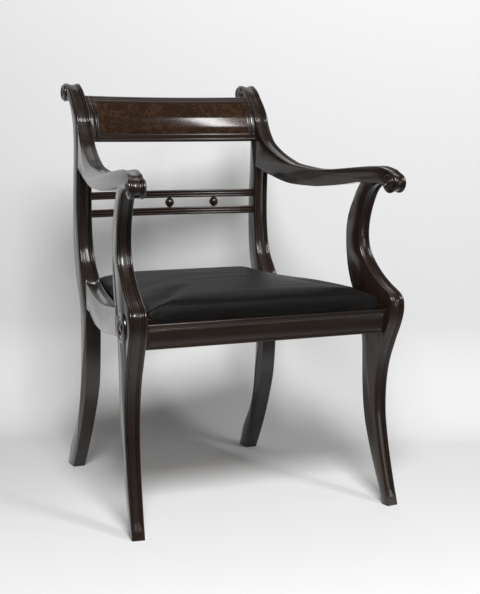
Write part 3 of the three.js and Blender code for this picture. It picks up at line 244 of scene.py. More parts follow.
def smooth(knots, along_size=1.0, value_size=1.0):
    """A smooth line through (along, value) knots, as a function of the place along it."""
    places, values = np.array(knots, float).T * np.array([[along_size], [value_size]])
    before = np.maximum(np.arange(len(places)) - 1, 0)
    after = np.minimum(np.arange(len(places)) + 1, len(places) - 1)
    slopes = (values[after] - values[before]) / (places[after] - places[before])

    def line(place):
        place = np.asarray(place, float)
        i = np.clip(np.searchsorted(places, place) - 1, 0, len(places) - 2)
        step = places[i + 1] - places[i]
        t = (place - places[i]) / step
        return (
            values[i] * (2 * t**3 - 3 * t**2 + 1) + values[i + 1] * (3 * t**2 - 2 * t**3)
            + slopes[i] * step * (t**3 - 2 * t**2 + t) + slopes[i + 1] * step * (t**3 - t**2)
        )

    return line


post_front = smooth(post_front_shares, overall_height, frame_depth)
post_back = smooth(post_back_shares, overall_height, frame_depth)
crest_roll = smooth(crest_roll_shares)

# Places of a side frame: side is 1 on the sitter's left and -1 on the right, along runs forward from the
# heel of the rear foot, and inward is the distance in from the outer face.
support_width = 0.028
leg_width = 0.0345
leg_near = (support_width - leg_width) / 2
toe_forward_share = 0.998
arm_joint = float(post_front(arm_height))
splay = math.atan((front_half - rear_half) / (frame_depth - arm_joint))
splay_sin, splay_cos = math.sin(splay), math.cos(splay)
plane_start = rear_half - arm_joint * math.tan(splay)
toe_forward = frame_depth * toe_forward_share * splay_cos + (leg_near + leg_width) * splay_sin
middle_forward = (toe_forward - crest_roll_set_back - crest_roll_radius) / 2
joint_top = rail_top + side_rail_rise
joint_bottom = rail_top - side_rail_sag * joint_share
side_rail_joint = float(post_front(joint_top))


def in_post(side):
    """Places in the flat plane of a rear post."""
    def place(along, height, inward):
        return np.stack([side * (rear_half - inward), middle_forward - along, height + 0 * along], -1)
    return place


def in_splay(side):
    """Places in the plane of an arm and a front leg, which opens toward the front."""
    def place(along, height, inward):
        return np.stack([
            side * (plane_start + along * splay_sin - inward * splay_cos),
            middle_forward - along * splay_cos - inward * splay_sin,
            height + 0 * along,
        ], -1)
    return place


def reeding(share):
    """How deep one reeded face lies at a share of its width: 0 on the beads' tops, 1 in the grooves."""
    edge = np.minimum(share, 1 - share)
    floor_depth = 0.95
    depth = np.full_like(edge, floor_depth)
    for middle, half, top, power in ((0.082, 0.1, 0.02, 2.0), (0.228, 0.058, 0.24, 2.0), (0.5, 0.222, 0.64, 3.4)):
        across = np.clip(np.abs(edge - middle) / half, 0, 1)
        crown = (1 - across**power) ** (1 / power)
        depth = np.minimum(depth, floor_depth - (floor_depth - top) * crown)
    return depth


half_levels = np.concatenate([
    np.linspace(0, 0.16, 11), np.linspace(0.172, 0.182, 2), np.linspace(0.19, 0.272, 9),
    [0.279, 0.284, 0.29, 0.3, 0.32, 0.35, 0.4, 0.45],
])
levels = np.concatenate([half_levels, [0.5], 1 - half_levels[::-1]])


def run(along, height, reed=0.0):
    """Part of a side outline: rows of (along, height, reed, and the direction into the wood)."""
    along, height = np.broadcast_arrays(np.asarray(along, float), np.asarray(height, float))
    if along.size == 1:
        return np.array([[float(along.ravel()[0]), float(height.ravel()[0]), reed, np.nan, np.nan]])
    go, rise = np.gradient(along), np.gradient(height)
    length = np.hypot(go, rise)
    return np.stack([along, height, np.full_like(go, 1.0) * reed, -rise / length, go / length], -1)


def steps(low, high, gap=spacing):
    """Even places from low to high, about a gap apart."""
    return np.linspace(low, high, max(int(abs(high - low) / gap), 2) + 1)


def mesh_object(name, verts, faces, finish, attributes=None):
    """A closed mesh piece with smooth faces, sharp arrises and every face turned outward."""
    mesh = bpy.data.meshes.new(name)
    mesh.from_pydata([tuple(v) for v in verts], [], [tuple(int(i) for i in f) for f in faces])
    mesh.validate()
    for key, values in (attributes or {}).items():
        mesh.attributes.new(key, "FLOAT", "POINT").data.foreach_set("value", np.asarray(values, np.float32))
    mesh.shade_smooth()
    mesh.materials.append(finish)
    shape = bmesh.new()
    shape.from_mesh(mesh)
    bmesh.ops.recalc_face_normals(shape, faces=shape.faces)
    shape.to_mesh(mesh)
    shape.free()
    mesh.set_sharp_from_angle(angle=sharp_angle)
    made = bpy.data.objects.new(name, mesh)
    bpy.context.scene.collection.objects.link(made)
    return made


def ringed(name, rings, finish, attributes=None, way=1):
    """Closed rings joined one after the other, both ends closed; way is -1 for rings that turn the other way."""
    points = np.array(rings)
    number = np.arange(points.shape[0] * points.shape[1]).reshape(points.shape[:2])
    ahead = np.roll(number, -1, 1)
    quads = np.stack([number[:-1], ahead[:-1], ahead[1:], number[1:]], -1).reshape(-1, 4)
    if way < 0:
        quads = quads[:, [0, 3, 2, 1]]
    faces = list(quads) + [number[0, ::-way], number[-1, ::way]]
    return mesh_object(name, points.reshape(-1, 3), faces, finish, attributes)


def put(made, slot, body, *cad_nodes):
    """Lets a piece stand for its CAD nodes and puts it on its body; slot is not used."""
    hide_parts(*cad_nodes)
    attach(made, body)


def sweep_across(name, runs, width, place, finish, settle=None):
    """A piece of a side frame: its outline swept from the outer to the inner face, with reeds and soft arrises."""
    outline = np.concatenate(runs)
    before, after = np.roll(outline, 1, 0), np.roll(outline, -1, 0)
    go, rise = (after - before)[:, 0], (after - before)[:, 1]
    length = np.hypot(go, rise)
    into = np.where(np.isnan(outline[:, 3:5]), np.stack([-rise / length, go / length], -1), outline[:, 3:5])
    along, height, reed = outline[:, 0], outline[:, 1], outline[:, 2]
    near, far = width(along, height)
    near, far = np.broadcast_arrays(near + 0 * along, far + 0 * along)
    inward = near[:, None] + (far - near)[:, None] * levels[None, :]
    across = np.maximum(np.abs(far - near), post_foot_width)[:, None]
    from_edge = np.minimum(levels, 1 - levels)[None, :] * across
    rubbed = arris_radius - np.sqrt(arris_radius**2 - np.clip(arris_radius - from_edge, 0, arris_radius) ** 2)
    groove = reed[:, None] * reeding(levels)[None, :]
    recess = groove * reed_depth + (1 - reed[:, None]) * rubbed
    points = place(
        along[:, None] + into[:, :1] * recess, height[:, None] + into[:, 1:] * recess, inward
    )
    points[..., 2] = np.maximum(points[..., 2], 0)
    if settle is not None:
        points = settle(points, outline)
    rings, count = points.shape[:2]
    number = np.arange(rings * count).reshape(rings, count)
    ahead = np.roll(number, -1, 0)
    quads = np.stack([number[:, :-1], ahead[:, :-1], ahead[:, 1:], number[:, 1:]], -1).reshape(-1, 4)
    faces = list(quads) + [number[::-1, 0], number[:, -1]]
    return mesh_object(name, points.reshape(-1, 3), faces, finish, {"groove": groove.ravel()})


# Mahogany, dark with age and French polished. Its figure is drawn by two shared node groups: long grain with
# pores and ribbon, and the handling that darkens grooves and clouds the polish.
def group(name, inputs, outputs):
    """An empty shader node group, with inputs as name: (kind, value) and outputs as name: kind."""
    tree = bpy.data.node_groups.new(name, "ShaderNodeTree")
    for label, (kind, value) in inputs.items():
        socket = tree.interface.new_socket(label, in_out="INPUT", socket_type=f"NodeSocket{kind}")
        if value is not None:
            socket.default_value = value
    for label, kind in outputs.items():
        tree.interface.new_socket(label, in_out="OUTPUT", socket_type=f"NodeSocket{kind}")
    return tree, tree.nodes.new("NodeGroupInput").outputs, tree.nodes.new("NodeGroupOutput")


def noise(tree, place, scale, detail, roughness=0.5, distortion=0.0):
    """A cloudy noise: its outputs are a value and a colour."""
    return node(tree, "ShaderNodeTexNoise", {
        "Vector": place, "Scale": scale, "Detail": detail, "Roughness": roughness, "Distortion": distortion,
    }).outputs


def blend(tree, share, first, second, kind="RGBA"):
    """Two colours, or two values if the kind is FLOAT, mixed by a share."""
    at, out = (6, 2) if kind == "RGBA" else (2, 0)
    return node(tree, "ShaderNodeMix", {0: share, at: first, at + 1: second}, data_type=kind).outputs[out]


def waved(tree, place, by, amount):
    """A place moved by a noise's colour, so that straight lines wave."""
    def step(operation, inputs):
        return node(tree, "ShaderNodeVectorMath", inputs, operation=operation).outputs[0]
    centred = step("SUBTRACT", {0: by["Color"], 1: (0.5, 0.5, 0.5)})
    return step("ADD", {0: place, 1: step("SCALE", {0: centred, "Scale": amount})})


def stretched(tree, stretch):
    """The place on the object, stretched along its axes."""
    return node(tree, "ShaderNodeMapping", {"Vector": spot(tree), "Scale": stretch}).outputs[0]


def relief(tree, height, strength, distance):
    """A small bump in the surface."""
    return node(tree, "ShaderNodeBump", {"Height": height, "Strength": strength, "Distance": distance}).outputs[0]


wax_tone = (0.006, 0.004, 0.003, 1)
grain, given, grain_out = group("long_grain", {
    "Place": ("Vector", None), "Dark Wood": ("Color", (0.02, 0.008, 0.004, 1)),
    "Light Wood": ("Color", (0.06, 0.025, 0.012, 1)), "Ribbon": ("Float", 0.5),
}, {"Color": "Color", "Pores": "Float"})
wavy = waved(grain, given["Place"], noise(grain, given["Place"], 1.3, 2.0), 0.55)
rings, ribbons = noise(grain, wavy, 2.6, 6.0, 0.62)[0], noise(grain, wavy, 0.9, 2.0)[0]
tone = ranged(grain, blend(grain, given["Ribbon"], rings, ribbons, "FLOAT"), 0.36, 0.66)
wood_tone = blend(grain, tone, given["Dark Wood"], given["Light Wood"])
pores = ranged(grain, noise(grain, given["Place"], 22.0, 3.0, 0.7)[0], 0.56, 0.70)
link(grain, grain_out, {"Color": blend(grain, pores, wood_tone, (0.008, 0.004, 0.003, 1)), "Pores": pores})

handling, given, handling_out = group("handling", {
    "Color": ("Color", (0.1, 0.1, 0.1, 1)), "Roughness": ("Float", 0.2), "Groove": ("Float", 0.0),
    "Clouding": ("Float", 0.1),
}, {"Color": "Color", "Roughness": "Float"})
clouds = sums(handling, "MULTIPLY", noise(handling, spot(handling), 14.0, 5.0, 0.6)[0], given["Clouding"])
wax = ranged(handling, given["Groove"], 0.45, 0.95, to_high=0.75)
dulled = sums(handling, "ADD", given["Roughness"], clouds)
link(handling, handling_out, {
    "Color": blend(handling, wax, given["Color"], wax_tone),
    "Roughness": sums(handling, "MULTIPLY_ADD", wax, 0.25, dulled),
})


def wood(name, stretch, tones, ribbon, handled, pore_relief, inputs):
    """A wood whose grain runs along the axis with the smallest stretch; handled is its roughness and clouding."""
    made = bpy.data.materials.new(name)
    bsdf = shader(made, inputs)
    tree = made.node_tree
    figure = node(tree, "ShaderNodeGroup", {
        "Dark Wood": tones[0], "Light Wood": tones[1], "Ribbon": ribbon, "Place": stretched(tree, stretch),
    }, node_tree=grain).outputs
    used = node(tree, "ShaderNodeGroup", {
        "Roughness": handled[0], "Clouding": handled[1], "Color": figure["Color"],
    }, node_tree=handling)
    link(tree, bsdf, {
        "Base Color": used.outputs["Color"], "Roughness": used.outputs["Roughness"],
        "Normal": relief(tree, figure["Pores"], pore_relief, pore_depth),
    })
    return made, used


def polished(name, stretch, ribbon=0.45):
    """French-polished mahogany, with old wax in its grooves."""
    made, used = wood(name, stretch, (dark_wood, light_wood), ribbon, (0.3, 0.12), 0.12, {
        "IOR": 1.45, "Coat Weight": 1.0, "Coat Roughness": 0.16, "Coat IOR": 1.48, "Specular IOR Level": 0.25,
    })
    groove = node(made.node_tree, "ShaderNodeAttribute", attribute_name="groove")
    link(made.node_tree, used, {"Groove": groove.outputs["Fac"]})
    return made


pore_depth = -0.0004
dark_wood = (0.0075, 0.0038, 0.0025, 1)
light_wood = (0.026, 0.0125, 0.007, 1)
upright_mahogany = polished("mahogany_upright", (26, 26, 2.6))

arm_bottom_shares = [
    (0.120, 0.993), (0.143, 0.988), (0.177, 0.980), (0.212, 0.971), (0.256, 0.962), (0.302, 0.953),
    (0.359, 0.946), (0.415, 0.944), (0.473, 0.944), (0.530, 0.945), (0.594, 0.950), (0.657, 0.956),
    (0.717, 0.963), (0.775, 0.9714),
]
arm_top_shares = [
    (0.143, 1.127), (0.150, 1.117), (0.159, 1.104), (0.184, 1.076), (0.230, 1.051), (0.277, 1.033),
    (0.318, 1.021), (0.360, 1.011), (0.429, 1.0045), (0.512, 1), (0.583, 1.0015), (0.671, 1.008),
    (0.760, 1.016), (0.848, 1.023), (0.892, 1.024), (0.936, 1.017),
]
arm_bottom = smooth(arm_bottom_shares, frame_depth, arm_height)
arm_top = smooth(arm_top_shares, frame_depth, arm_height)
reed_stop = float(arm_bottom(arm_joint)) + 0.006
reed_restart = float(arm_top(arm_joint)) - 0.018


def post_width_at(along, height):
    taper = np.clip(height / post_taper_height, 0, 1)
    return 0 * height, post_foot_width + (post_width - post_foot_width) * taper


def post_runs():
    """The side outline of a post, from the toe up the front, over the scroll and down the back."""
    low, high = steps(0, joint_bottom), steps(joint_top, reed_stop)
    upper = steps(reed_restart, reed_end)
    back = steps(overall_height * post_back_shares[-1][0], 0)
    turns = np.linspace(crest_roll_shares[0][0], crest_roll_shares[-1][0], roll_steps)
    radius, angle = crest_roll(turns) * crest_roll_radius, turns * 2 * math.pi
    above_joint = run(post_front(high), high, 1)
    # The reeds come off the side rail's top and turn upward
    turning = np.clip((high - joint_top) / reed_turn, 0, 1)
    flat = (1 - turning) ** 2
    above_joint[:, 3] = above_joint[:, 3] * (1 - flat)
    above_joint[:, 4] = above_joint[:, 4] * (1 - flat) - flat
    scroll = run(radius * np.cos(angle) - crest_roll_set_back, crest_roll_height + radius * np.sin(angle), 1)
    scroll[-3:, 2] = [0.6, 0.2, 0]
    return [
        run(post_front(low), low), above_joint,
        run(post_front(reed_stop + hair), reed_stop + hair),
        run(post_front(reed_restart - hair), reed_restart - hair),
        run(post_front(upper), upper, 1), scroll, run(post_back(back), back),
    ]


for side, name in sides:
    post = sweep_across(f"post_{name}", post_runs(), post_width_at, in_post(side), upright_mahogany)
    put(post, "mahogany", "frame", f"rear_post_{name}")

# ---------------------------------------------------------------- side rails
# The rail sags between the post and the front leg like a crescent. Its top is reeded, so that the reeds
# run on up the post, and a ledge glued inside it carries the loose seat.
side_rail_top_shares = [
    (0, 1), (0.05, 0.84), (0.12, 0.66), (0.25, 0.36), (0.466, 0.15), (0.69, 0.36), (0.86, 0.68), (1, 1),
]
side_rail_bottom_shares = [
    (0, joint_share), (0.1, 0.70), (0.2, 0.85), (0.306, 0.96), (0.47, 1), (0.574, 0.99), (0.80, 0.857),
    (1, joint_share),
]
rail_top_line = smooth(side_rail_top_shares)
rail_bottom_line = smooth(side_rail_bottom_shares)
level_mahogany = polished("mahogany_level", (26, 2.6, 26))


def in_rail(side):
    """Places in a side rail, from the post's section to the leg's: inward is a share of the width there."""
    at_post, at_leg = in_post(side), in_splay(side)

    def place(along, height, inward):
        t = ((along - side_rail_joint) / (leg_shoulder - side_rail_joint) + 0 * inward)[..., None]
        start = at_post(side_rail_joint + 0 * along, height, inward * post_width)
        end = at_leg(leg_shoulder + 0 * along, height, leg_near + inward * leg_width)
        return start * (1 - t) + end * t

    return place


def side_rail_runs():
    shares = steps(0, 1, spacing / (leg_shoulder - side_rail_joint))
    along = side_rail_joint + (leg_shoulder - side_rail_joint) * shares
    top = rail_top + side_rail_rise * rail_top_line(shares)
    return [
        run(along, rail_top - side_rail_sag * rail_bottom_line(shares)),
        run(along[::-1], top[::-1], 1),
    ]


ledge_drop = 0.0183
ledge_top = rail_top - ledge_drop
ledge_width, ledge_height, ledge_run = 0.012, 0.016, (0.17, 0.42)
for side, name in sides:
    rail = sweep_across(
        f"side_rail_{name}_wood", side_rail_runs(), lambda along, height: (0 * height, 1 + 0 * height),
        in_rail(side), level_mahogany,
    )
    put(rail, "mahogany", "frame", f"side_rail_{name}")

    corners = [
        in_rail(side)(np.array(along), np.array(height), np.array(inward))
        for along in ledge_run for height in (ledge_top - ledge_height, ledge_top)
        for inward in (0.9, 1 + ledge_width / leg_width)
    ]
    ledge = mesh_object(
        f"seat_ledge_{name}", corners,
        [(0, 1, 3, 2), (4, 6, 7, 5), (0, 4, 5, 1), (2, 3, 7, 6), (0, 2, 6, 4), (1, 5, 7, 3)], level_mahogany,
    )
    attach(ledge, "frame")

# ---------------------------------------------------------------- front legs
# A sabre leg swells from the foot to the knee, where it turns back into the arm support. The reeds run from
# a plain border at the foot over the knee, and a large turned roundel sits on the knee's outer face.
leg_front_shares = [
    (0, 0.998), (0.045, 0.982), (0.090, 0.966), (0.150, 0.946), (0.210, 0.929), (0.270, 0.916),
    (0.331, 0.912), (0.376, 0.914), (0.418, 0.921), (0.451, 0.931), (0.481, 0.944), (0.511, 0.958),
    (0.538, 0.972), (0.563, 0.984), (0.590, 0.993), (0.613, 0.9955), (0.631, 0.993), (0.643, 0.984),
    (0.652, 0.971), (0.662, 0.949), (0.671, 0.928), (0.688, 0.896), (0.706, 0.868), (0.729, 0.839),
    (0.753, 0.816), (0.777, 0.802), (0.804, 0.795), (0.831, 0.795), (0.857, 0.799), (0.887, 0.809),
    (0.914, 0.8215), (0.935, 0.834), (0.951, 0.847), (0.963, 0.864), (0.972, 0.889),
]
leg_back_shares = [
    (0, 0.963), (0.030, 0.952), (0.068, 0.933), (0.105, 0.914), (0.144, 0.895), (0.188, 0.876),
    (0.237, 0.858), (0.286, 0.8465), (0.328, 0.841), (0.376, 0.837), (0.419, 0.836), (0.466, 0.835),
    (0.505, 0.832), (0.532, 0.826), (0.550, 0.816),
]
support_back_shares = [
    (0.632, 0.783), (0.645, 0.771), (0.663, 0.758), (0.691, 0.744), (0.721, 0.7325), (0.750, 0.7255),
    (0.777, 0.7205), (0.804, 0.719), (0.834, 0.7205), (0.863, 0.727), (0.894, 0.741), (0.923, 0.759),
    (0.944, 0.772), (0.962, 0.786), (0.972, 0.796),
]
leg_swell_shares = [(0, 0), (0.25, 0.2), (0.5, 0.47), (0.75, 0.85), (0.9, 1), (1, 1)]
leg_front = smooth(leg_front_shares, arm_height, frame_depth)
leg_back = smooth(leg_back_shares, arm_height, frame_depth)
support_back = smooth(support_back_shares, arm_height, frame_depth)
leg_swell = smooth(leg_swell_shares)
leg_foot_width = 0.025
foot_border = 0.016
support_joint = arm_height * 0.777


def leg_width_at(along, height):
    """The outer and inner faces of leg and support at a height."""
    over = np.clip((height - rail_top) / (support_joint - rail_top), 0, 1)
    swell = leg_foot_width + (leg_width - leg_foot_width) * leg_swell(np.minimum(height / rail_top, 1))
    wide = swell + (support_width - swell) * over
    near = (support_width - wide) / 2
    return near, near + wide


def leg_runs():
    border, front = steps(0, foot_border), steps(foot_border + hair, support_joint, fine_spacing)
    crook = support_back_shares[0][0] * arm_height
    hollow = steps(support_joint, crook)
    back = steps(leg_back_shares[-1][0] * arm_height, 0)
    reeds = np.clip((front - foot_border) / reed_fade, 0, 1)
    return [
        run(leg_front(border), border), run(leg_front(front), front, reeds), run(support_back(hollow), hollow),
        run(support_back(crook), joint_top + 0.0003), run(leg_shoulder, joint_top + 0.0003),
        run(leg_shoulder, joint_bottom), run(leg_back(back), back),
    ]


for side, name in sides:
    leg = sweep_across(f"sabre_leg_{name}", leg_runs(), leg_width_at, in_splay(side), upright_mahogany)
    put(leg, "mahogany", "frame", f"front_leg_{name}")

# ---------------------------------------------------------------- arm supports
# An S-shaped mahogany support, reeded in front like the leg, tenoned into the knee below and the arm above.
arm_seat_height = arm_height * 0.9714


def support_runs():
    heights = steps(support_joint, arm_seat_height, fine_spacing)
    return [run(leg_front(heights), heights, 1), run(support_back(heights[::-1]), heights[::-1])]


for side, name in sides:
    support = sweep_across(f"support_{name}", support_runs(), leg_width_at, in_splay(side), upright_mahogany)
    put(support, "mahogany", "frame", f"arm_support_{name}")

# ---------------------------------------------------------------- arms
# The arm sweeps down from the post, runs level and rolls over in a scroll on top of its support. Its top is
# reeded from the scroll's underside to the post, where it feathers out into the post's own reeds.
arm_roll_shares = [
    (-0.31, 1.26), (-0.25, 0.96), (-0.20, 0.88), (-0.13, 0.91), (-0.07, 0.95), (0, 1), (0.12, 1), (0.44, 0.96),
]
arm_width_shares = [(0, 1), (0.14, 1), (0.35, 0.4), (0.6, 0), (1, 0)]
arm_roll = smooth(arm_roll_shares)
arm_extra = smooth(arm_width_shares, frame_depth, post_width - support_width)
arm_roll_forward = frame_depth * 0.954
arm_roll_height = arm_height * 0.979
arm_roll_radius = arm_height * 0.0323
arm_feather = arm_joint + 0.0015
arm_let_in = 0.0008
merge_low, merge_high = overall_height * 0.85, overall_height * 0.905
tip_heights = (overall_height * 0.911, overall_height * 0.922)
arm_tip = smooth(
    [(float(arm_top(frame_depth * a)), frame_depth * a) for a in (0.184, 0.159, 0.150)]
    + [(float(arm_top(arm_feather)), arm_feather)] + [(h, float(post_front(h)) - hair) for h in tip_heights]
)


def in_arm(side):
    """Places in an arm: its splay dies out toward the tip, which lies in the post's plane."""
    at_post, at_splay = in_post(side), in_splay(side)

    def place(along, height, inward):
        t = (np.clip((height - merge_low) / (merge_high - merge_low), 0, 1) + 0 * inward)[..., None]
        return at_splay(along, height, inward) * (1 - t) + at_post(along, height, inward) * t

    return place


def arm_runs():
    """The side outline of an arm: underside, scroll, top, and the end that lies on the post's front."""
    bottom = steps(arm_joint, arm_bottom_shares[-1][0] * frame_depth)
    notch = arm_roll_forward - arm_roll_radius - 0.006
    turns = np.linspace(arm_roll_shares[-1][0], arm_roll_shares[0][0], roll_steps)
    radius, angle = arm_roll(turns) * arm_roll_radius, -turns * 2 * math.pi
    scroll = run(arm_roll_forward + radius * np.cos(angle), arm_roll_height + radius * np.sin(angle), 1)
    top = steps(arm_top_shares[-1][0] * frame_depth, arm_feather, fine_spacing)
    tip = steps(float(arm_top(arm_feather)), tip_heights[0], 0.002)[1:]
    ends = steps(tip_heights[0], float(arm_bottom(arm_joint)))
    end = run(post_front(ends), ends)
    end[:, 3:5] = np.nan
    scroll[0, 2] = 0
    return [
        run(bottom, arm_bottom(bottom)),
        run(notch - 0.006, arm_seat_height), run(notch, arm_seat_height + 0.0015),
        scroll, run(np.concatenate([top[1:], arm_tip(tip)]), np.concatenate([arm_top(top[1:]), tip]), 1), end,
    ], len(ends)


def arm_width_at(along, height):
    return 0 * along, support_width + arm_extra(along)


for side, name in sides:
    runs, end_count = arm_runs()

    def on_post(points, outline, end_count=end_count):
        """Lays the arm's end just inside the post's front face, and inside its reeds where they start again."""
        end = outline[-end_count:]
        sunk = np.where(end[:, 1] > reed_restart, 1, 0)[:, None] * reeding(levels)[None, :] * reed_depth
        points[-end_count:, :, 1] = middle_forward - (end[:, 0] - arm_let_in)[:, None] + sunk
        return points

    arm = sweep_across(f"arm_{name}_wood", runs, arm_width_at, in_arm(side), level_mahogany, on_post)
    put(arm, "mahogany", "frame", f"arm_{name}")

# ---------------------------------------------------------------- turned roundels
# Small turned discs with a boss and two beads cover the eyes of the crest and arm scrolls on both faces, and a
# large one the outer face of each knee. They are turned across the grain and glued on.
roundel_profile = [
    (0.04, 1.0), (0.1, 0.98), (0.16, 0.93), (0.21, 0.84), (0.25, 0.7), (0.275, 0.52), (0.285, 0.36), (0.3, 0.3),
    (0.36, 0.27), (0.43, 0.28), (0.475, 0.33), (0.5, 0.42), (0.51, 0.56), (0.54, 0.7), (0.585, 0.79),
    (0.63, 0.8), (0.675, 0.72), (0.705, 0.58), (0.72, 0.42), (0.745, 0.36), (0.77, 0.42), (0.785, 0.58),
    (0.82, 0.72), (0.87, 0.8), (0.92, 0.79), (0.96, 0.7), (0.985, 0.56), (1.0, 0.38), (1.0, -0.1),
]
crest_eye = (-crest_roll_set_back, crest_roll_height)
arm_eye = (arm_roll_forward, arm_roll_height)
knee_eye = (frame_depth * 0.8975, overall_height * 0.4666)
small_radius, small_thickness = 0.0165, 0.0034
arm_radius = 0.0155
knee_radius, knee_thickness = 0.029, 0.0052
turned_mahogany = polished("mahogany_turned", (20, 20, 20), ribbon=0.3)


def turned(name, profile, ring_place, segments=72):
    """A turned piece: (radius, height) pairs spun about an axis, with both ends closed."""
    angles = np.linspace(0, 2 * math.pi, segments, endpoint=False)
    return ringed(name, [ring_place(radius, height, angles) for radius, height in profile], turned_mahogany)


def roundel(name, node_name, place, eye_at, inward, way, radius, thickness):
    """A roundel on a flat face: way is -1 where it looks out of the chair and 1 where it looks in."""
    made = turned(
        name, [(r * radius, h * thickness) for r, h in roundel_profile],
        lambda r, h, a: place(eye_at[0] + r * np.cos(a), eye_at[1] + r * np.sin(a), inward + way * h + 0 * a),
    )
    put(made, "mahogany", "frame", node_name)


for side, name in sides:
    post_place, splay_place = in_post(side), in_splay(side)
    for face, inward, arm_inward, way in (("outer", 0, 0, -1), ("inner", post_width, support_width, 1)):
        roundel(
            f"crest_disc_{face}_{name}", f"crest_roundel_{face}_{name}", post_place, crest_eye, inward, way,
            small_radius, small_thickness,
        )
        roundel(
            f"arm_disc_{face}_{name}", f"arm_roundel_{face}_{name}", splay_place, arm_eye, arm_inward, way,
            arm_radius, small_thickness,
        )
    roundel(
        f"knee_disc_{name}", f"knee_roundel_{name}", splay_place, knee_eye, leg_near, -1,
        knee_radius, knee_thickness,
    )

# ---------------------------------------------------------------- crest rail
# A bowed mahogany board between the posts. Its front has a moulded edge above and below and two beads at each
# end, and its middle is sunk to take the veneer.
crest_bottom = overall_height * 0.8538
crest_height = overall_height * 0.1158
crest_thickness, crest_top_share = 0.022, 0.77
crest_bow, crest_hollow, crest_hollow_share = 0.015, 0.0025, 0.45
crest_set_back = 0.0012
crest_half = rear_half - post_width
wide_bead, narrow_bead, end_strip = 0.0105, 0.004, 0.004
end_bead_depth, edge_bead_depth = 0.0022, 0.0011
veneer_half = crest_half - wide_bead - narrow_bead - end_strip
veneer_low, veneer_high = 0.18, 0.85
veneer_sink, veneer_thickness, glue_line = 0.0006, 0.0014, 0.00005
across_mahogany = polished("mahogany_across", (2.6, 26, 26))


def bow_at(x, bow):
    return bow * (1 - (x / crest_half) ** 2)


def crest_height_at(x, share):
    hollow = crest_hollow * (crest_hollow_share + (1 - crest_hollow_share) * share)
    return crest_bottom + crest_height * share - bow_at(x, hollow)


def crest_place(x, share, recess):
    """Places on the crest rail's front, sunk by a recess."""
    height = crest_height_at(x, share)
    along = post_front(height) - crest_set_back - bow_at(x, crest_bow) - recess
    return np.stack([x + 0 * along, middle_forward - along, height + 0 * along], -1)


def bead(start, end, depth, count=9):
    """Places across one bead and its recess there: none on top, its depth in the quirks."""
    t = np.linspace(-1, 1, count)
    return [(start + (end - start) * (u + 1) / 2, depth * (1 - math.sqrt(max(1 - u * u, 0)))) for u in t]


crest_front = (
    [(0.0, 0.0022), (0.004, 0.0012)] + bead(0.008, 0.075, edge_bead_depth)
    + [(0.08, 0.0013), (0.088, 0.0003), (0.095, 0.0), (0.12, 0.0), (0.15, 0.0), (0.172, 0.0), (0.1785, 0.0003)]
    + [(s, None) for s in (veneer_low, 0.22, 0.3, 0.38, 0.46, 0.54, 0.62, 0.7, 0.78, veneer_high)]
    + [(0.8515, 0.0003), (0.858, 0.0), (0.885, 0.0), (0.908, 0.0), (0.914, 0.0003), (0.922, 0.0013)]
    + bead(0.926, 0.955, edge_bead_depth, 7) + bead(0.958, 0.998, edge_bead_depth, 9) + [(1.0, 0.0022)]
)
crest_back = [1.0, 0.995, 0.98, 0.93, 0.86, 0.78, 0.68, 0.58, 0.48, 0.38, 0.28, 0.18, 0.09, 0.02, 0.005, 0.0]
crest_end_round = [0.0016, 0.0005, 0.0001] + [0.0] * 10 + [0.0001, 0.0005, 0.0016]
end_stations = (
    [(crest_half - w, r) for w, r in bead(0, wide_bead, end_bead_depth, 15)]
    + [(crest_half - w, r) for w, r in bead(wide_bead, wide_bead + narrow_bead, end_bead_depth * 0.6, 9)]
    + [(veneer_half + end_strip - 0.0004, 0.0002), (veneer_half + end_strip - 0.001, 0)]
    + [(veneer_half + 0.0004, 0), (veneer_half, 0.0003)]
)


def crest_ring(x, end_recess, in_field):
    field = veneer_sink + veneer_thickness + glue_line if in_field else end_recess
    front = [crest_place(x, s, field if r is None else max(r, end_recess)) for s, r in crest_front]
    back = [
        crest_place(x, s, crest_thickness * (1 - (1 - crest_top_share) * s) - r)
        for s, r in zip(crest_back, crest_end_round)
    ]
    return np.array(front + back)


field_stations = [(x, 0.0, True) for x in np.linspace(veneer_half - 0.00005, -veneer_half + 0.00005, 72)]
stations = [(x, r, False) for x, r in end_stations] + field_stations
stations += [(-x, r, False) for x, r in end_stations[::-1]]
crest_groove = [
    [0 if r is None and field else min(max(r or 0, end) / end_bead_depth, 1) for s, r in crest_front]
    + [0] * len(crest_back)
    for x, end, field in stations
]
crest = ringed(
    "crest_board", [crest_ring(*station) for station in stations], across_mahogany,
    {"groove": np.ravel(crest_groove)}, -1,
)
put(crest, "mahogany", "frame", "crest_rail")

# ---------------------------------------------------------------- crest veneer
# A leaf of crotch mahogany glued into the crest's sunk field. Its figure is a flame of dark and light swirls,
# and the polish over it is the brightest on the chair.
flame, given, flame_out = group("flame_figure", {
    "Place": ("Vector", None), "Dark Wood": ("Color", (0.02, 0.008, 0.004, 1)),
    "Light Wood": ("Color", (0.12, 0.05, 0.025, 1)),
}, {"Color": "Color", "Figure": "Float"})
swirled = waved(flame, given["Place"], noise(flame, given["Place"], 2.2, 3.0, 0.55), 1.7)
plumes = noise(flame, swirled, 1.7, 1.5, 0.5, distortion=0.6)[0]
threads = noise(flame, swirled, 7.0, 3.0, 0.6)[0]
off_ridge = sums(flame, "ABSOLUTE", sums(flame, "SUBTRACT", plumes, 0.5))
ridge = ranged(flame, off_ridge, 0.09, 0.0, interpolation_type="SMOOTHSTEP")
plume_tone = ranged(flame, blend(flame, 0.45, ridge, threads, "FLOAT"), 0.15, 0.85)
plume_color = blend(flame, plume_tone, given["Dark Wood"], given["Light Wood"])
link(flame, flame_out, {"Color": plume_color, "Figure": plume_tone})

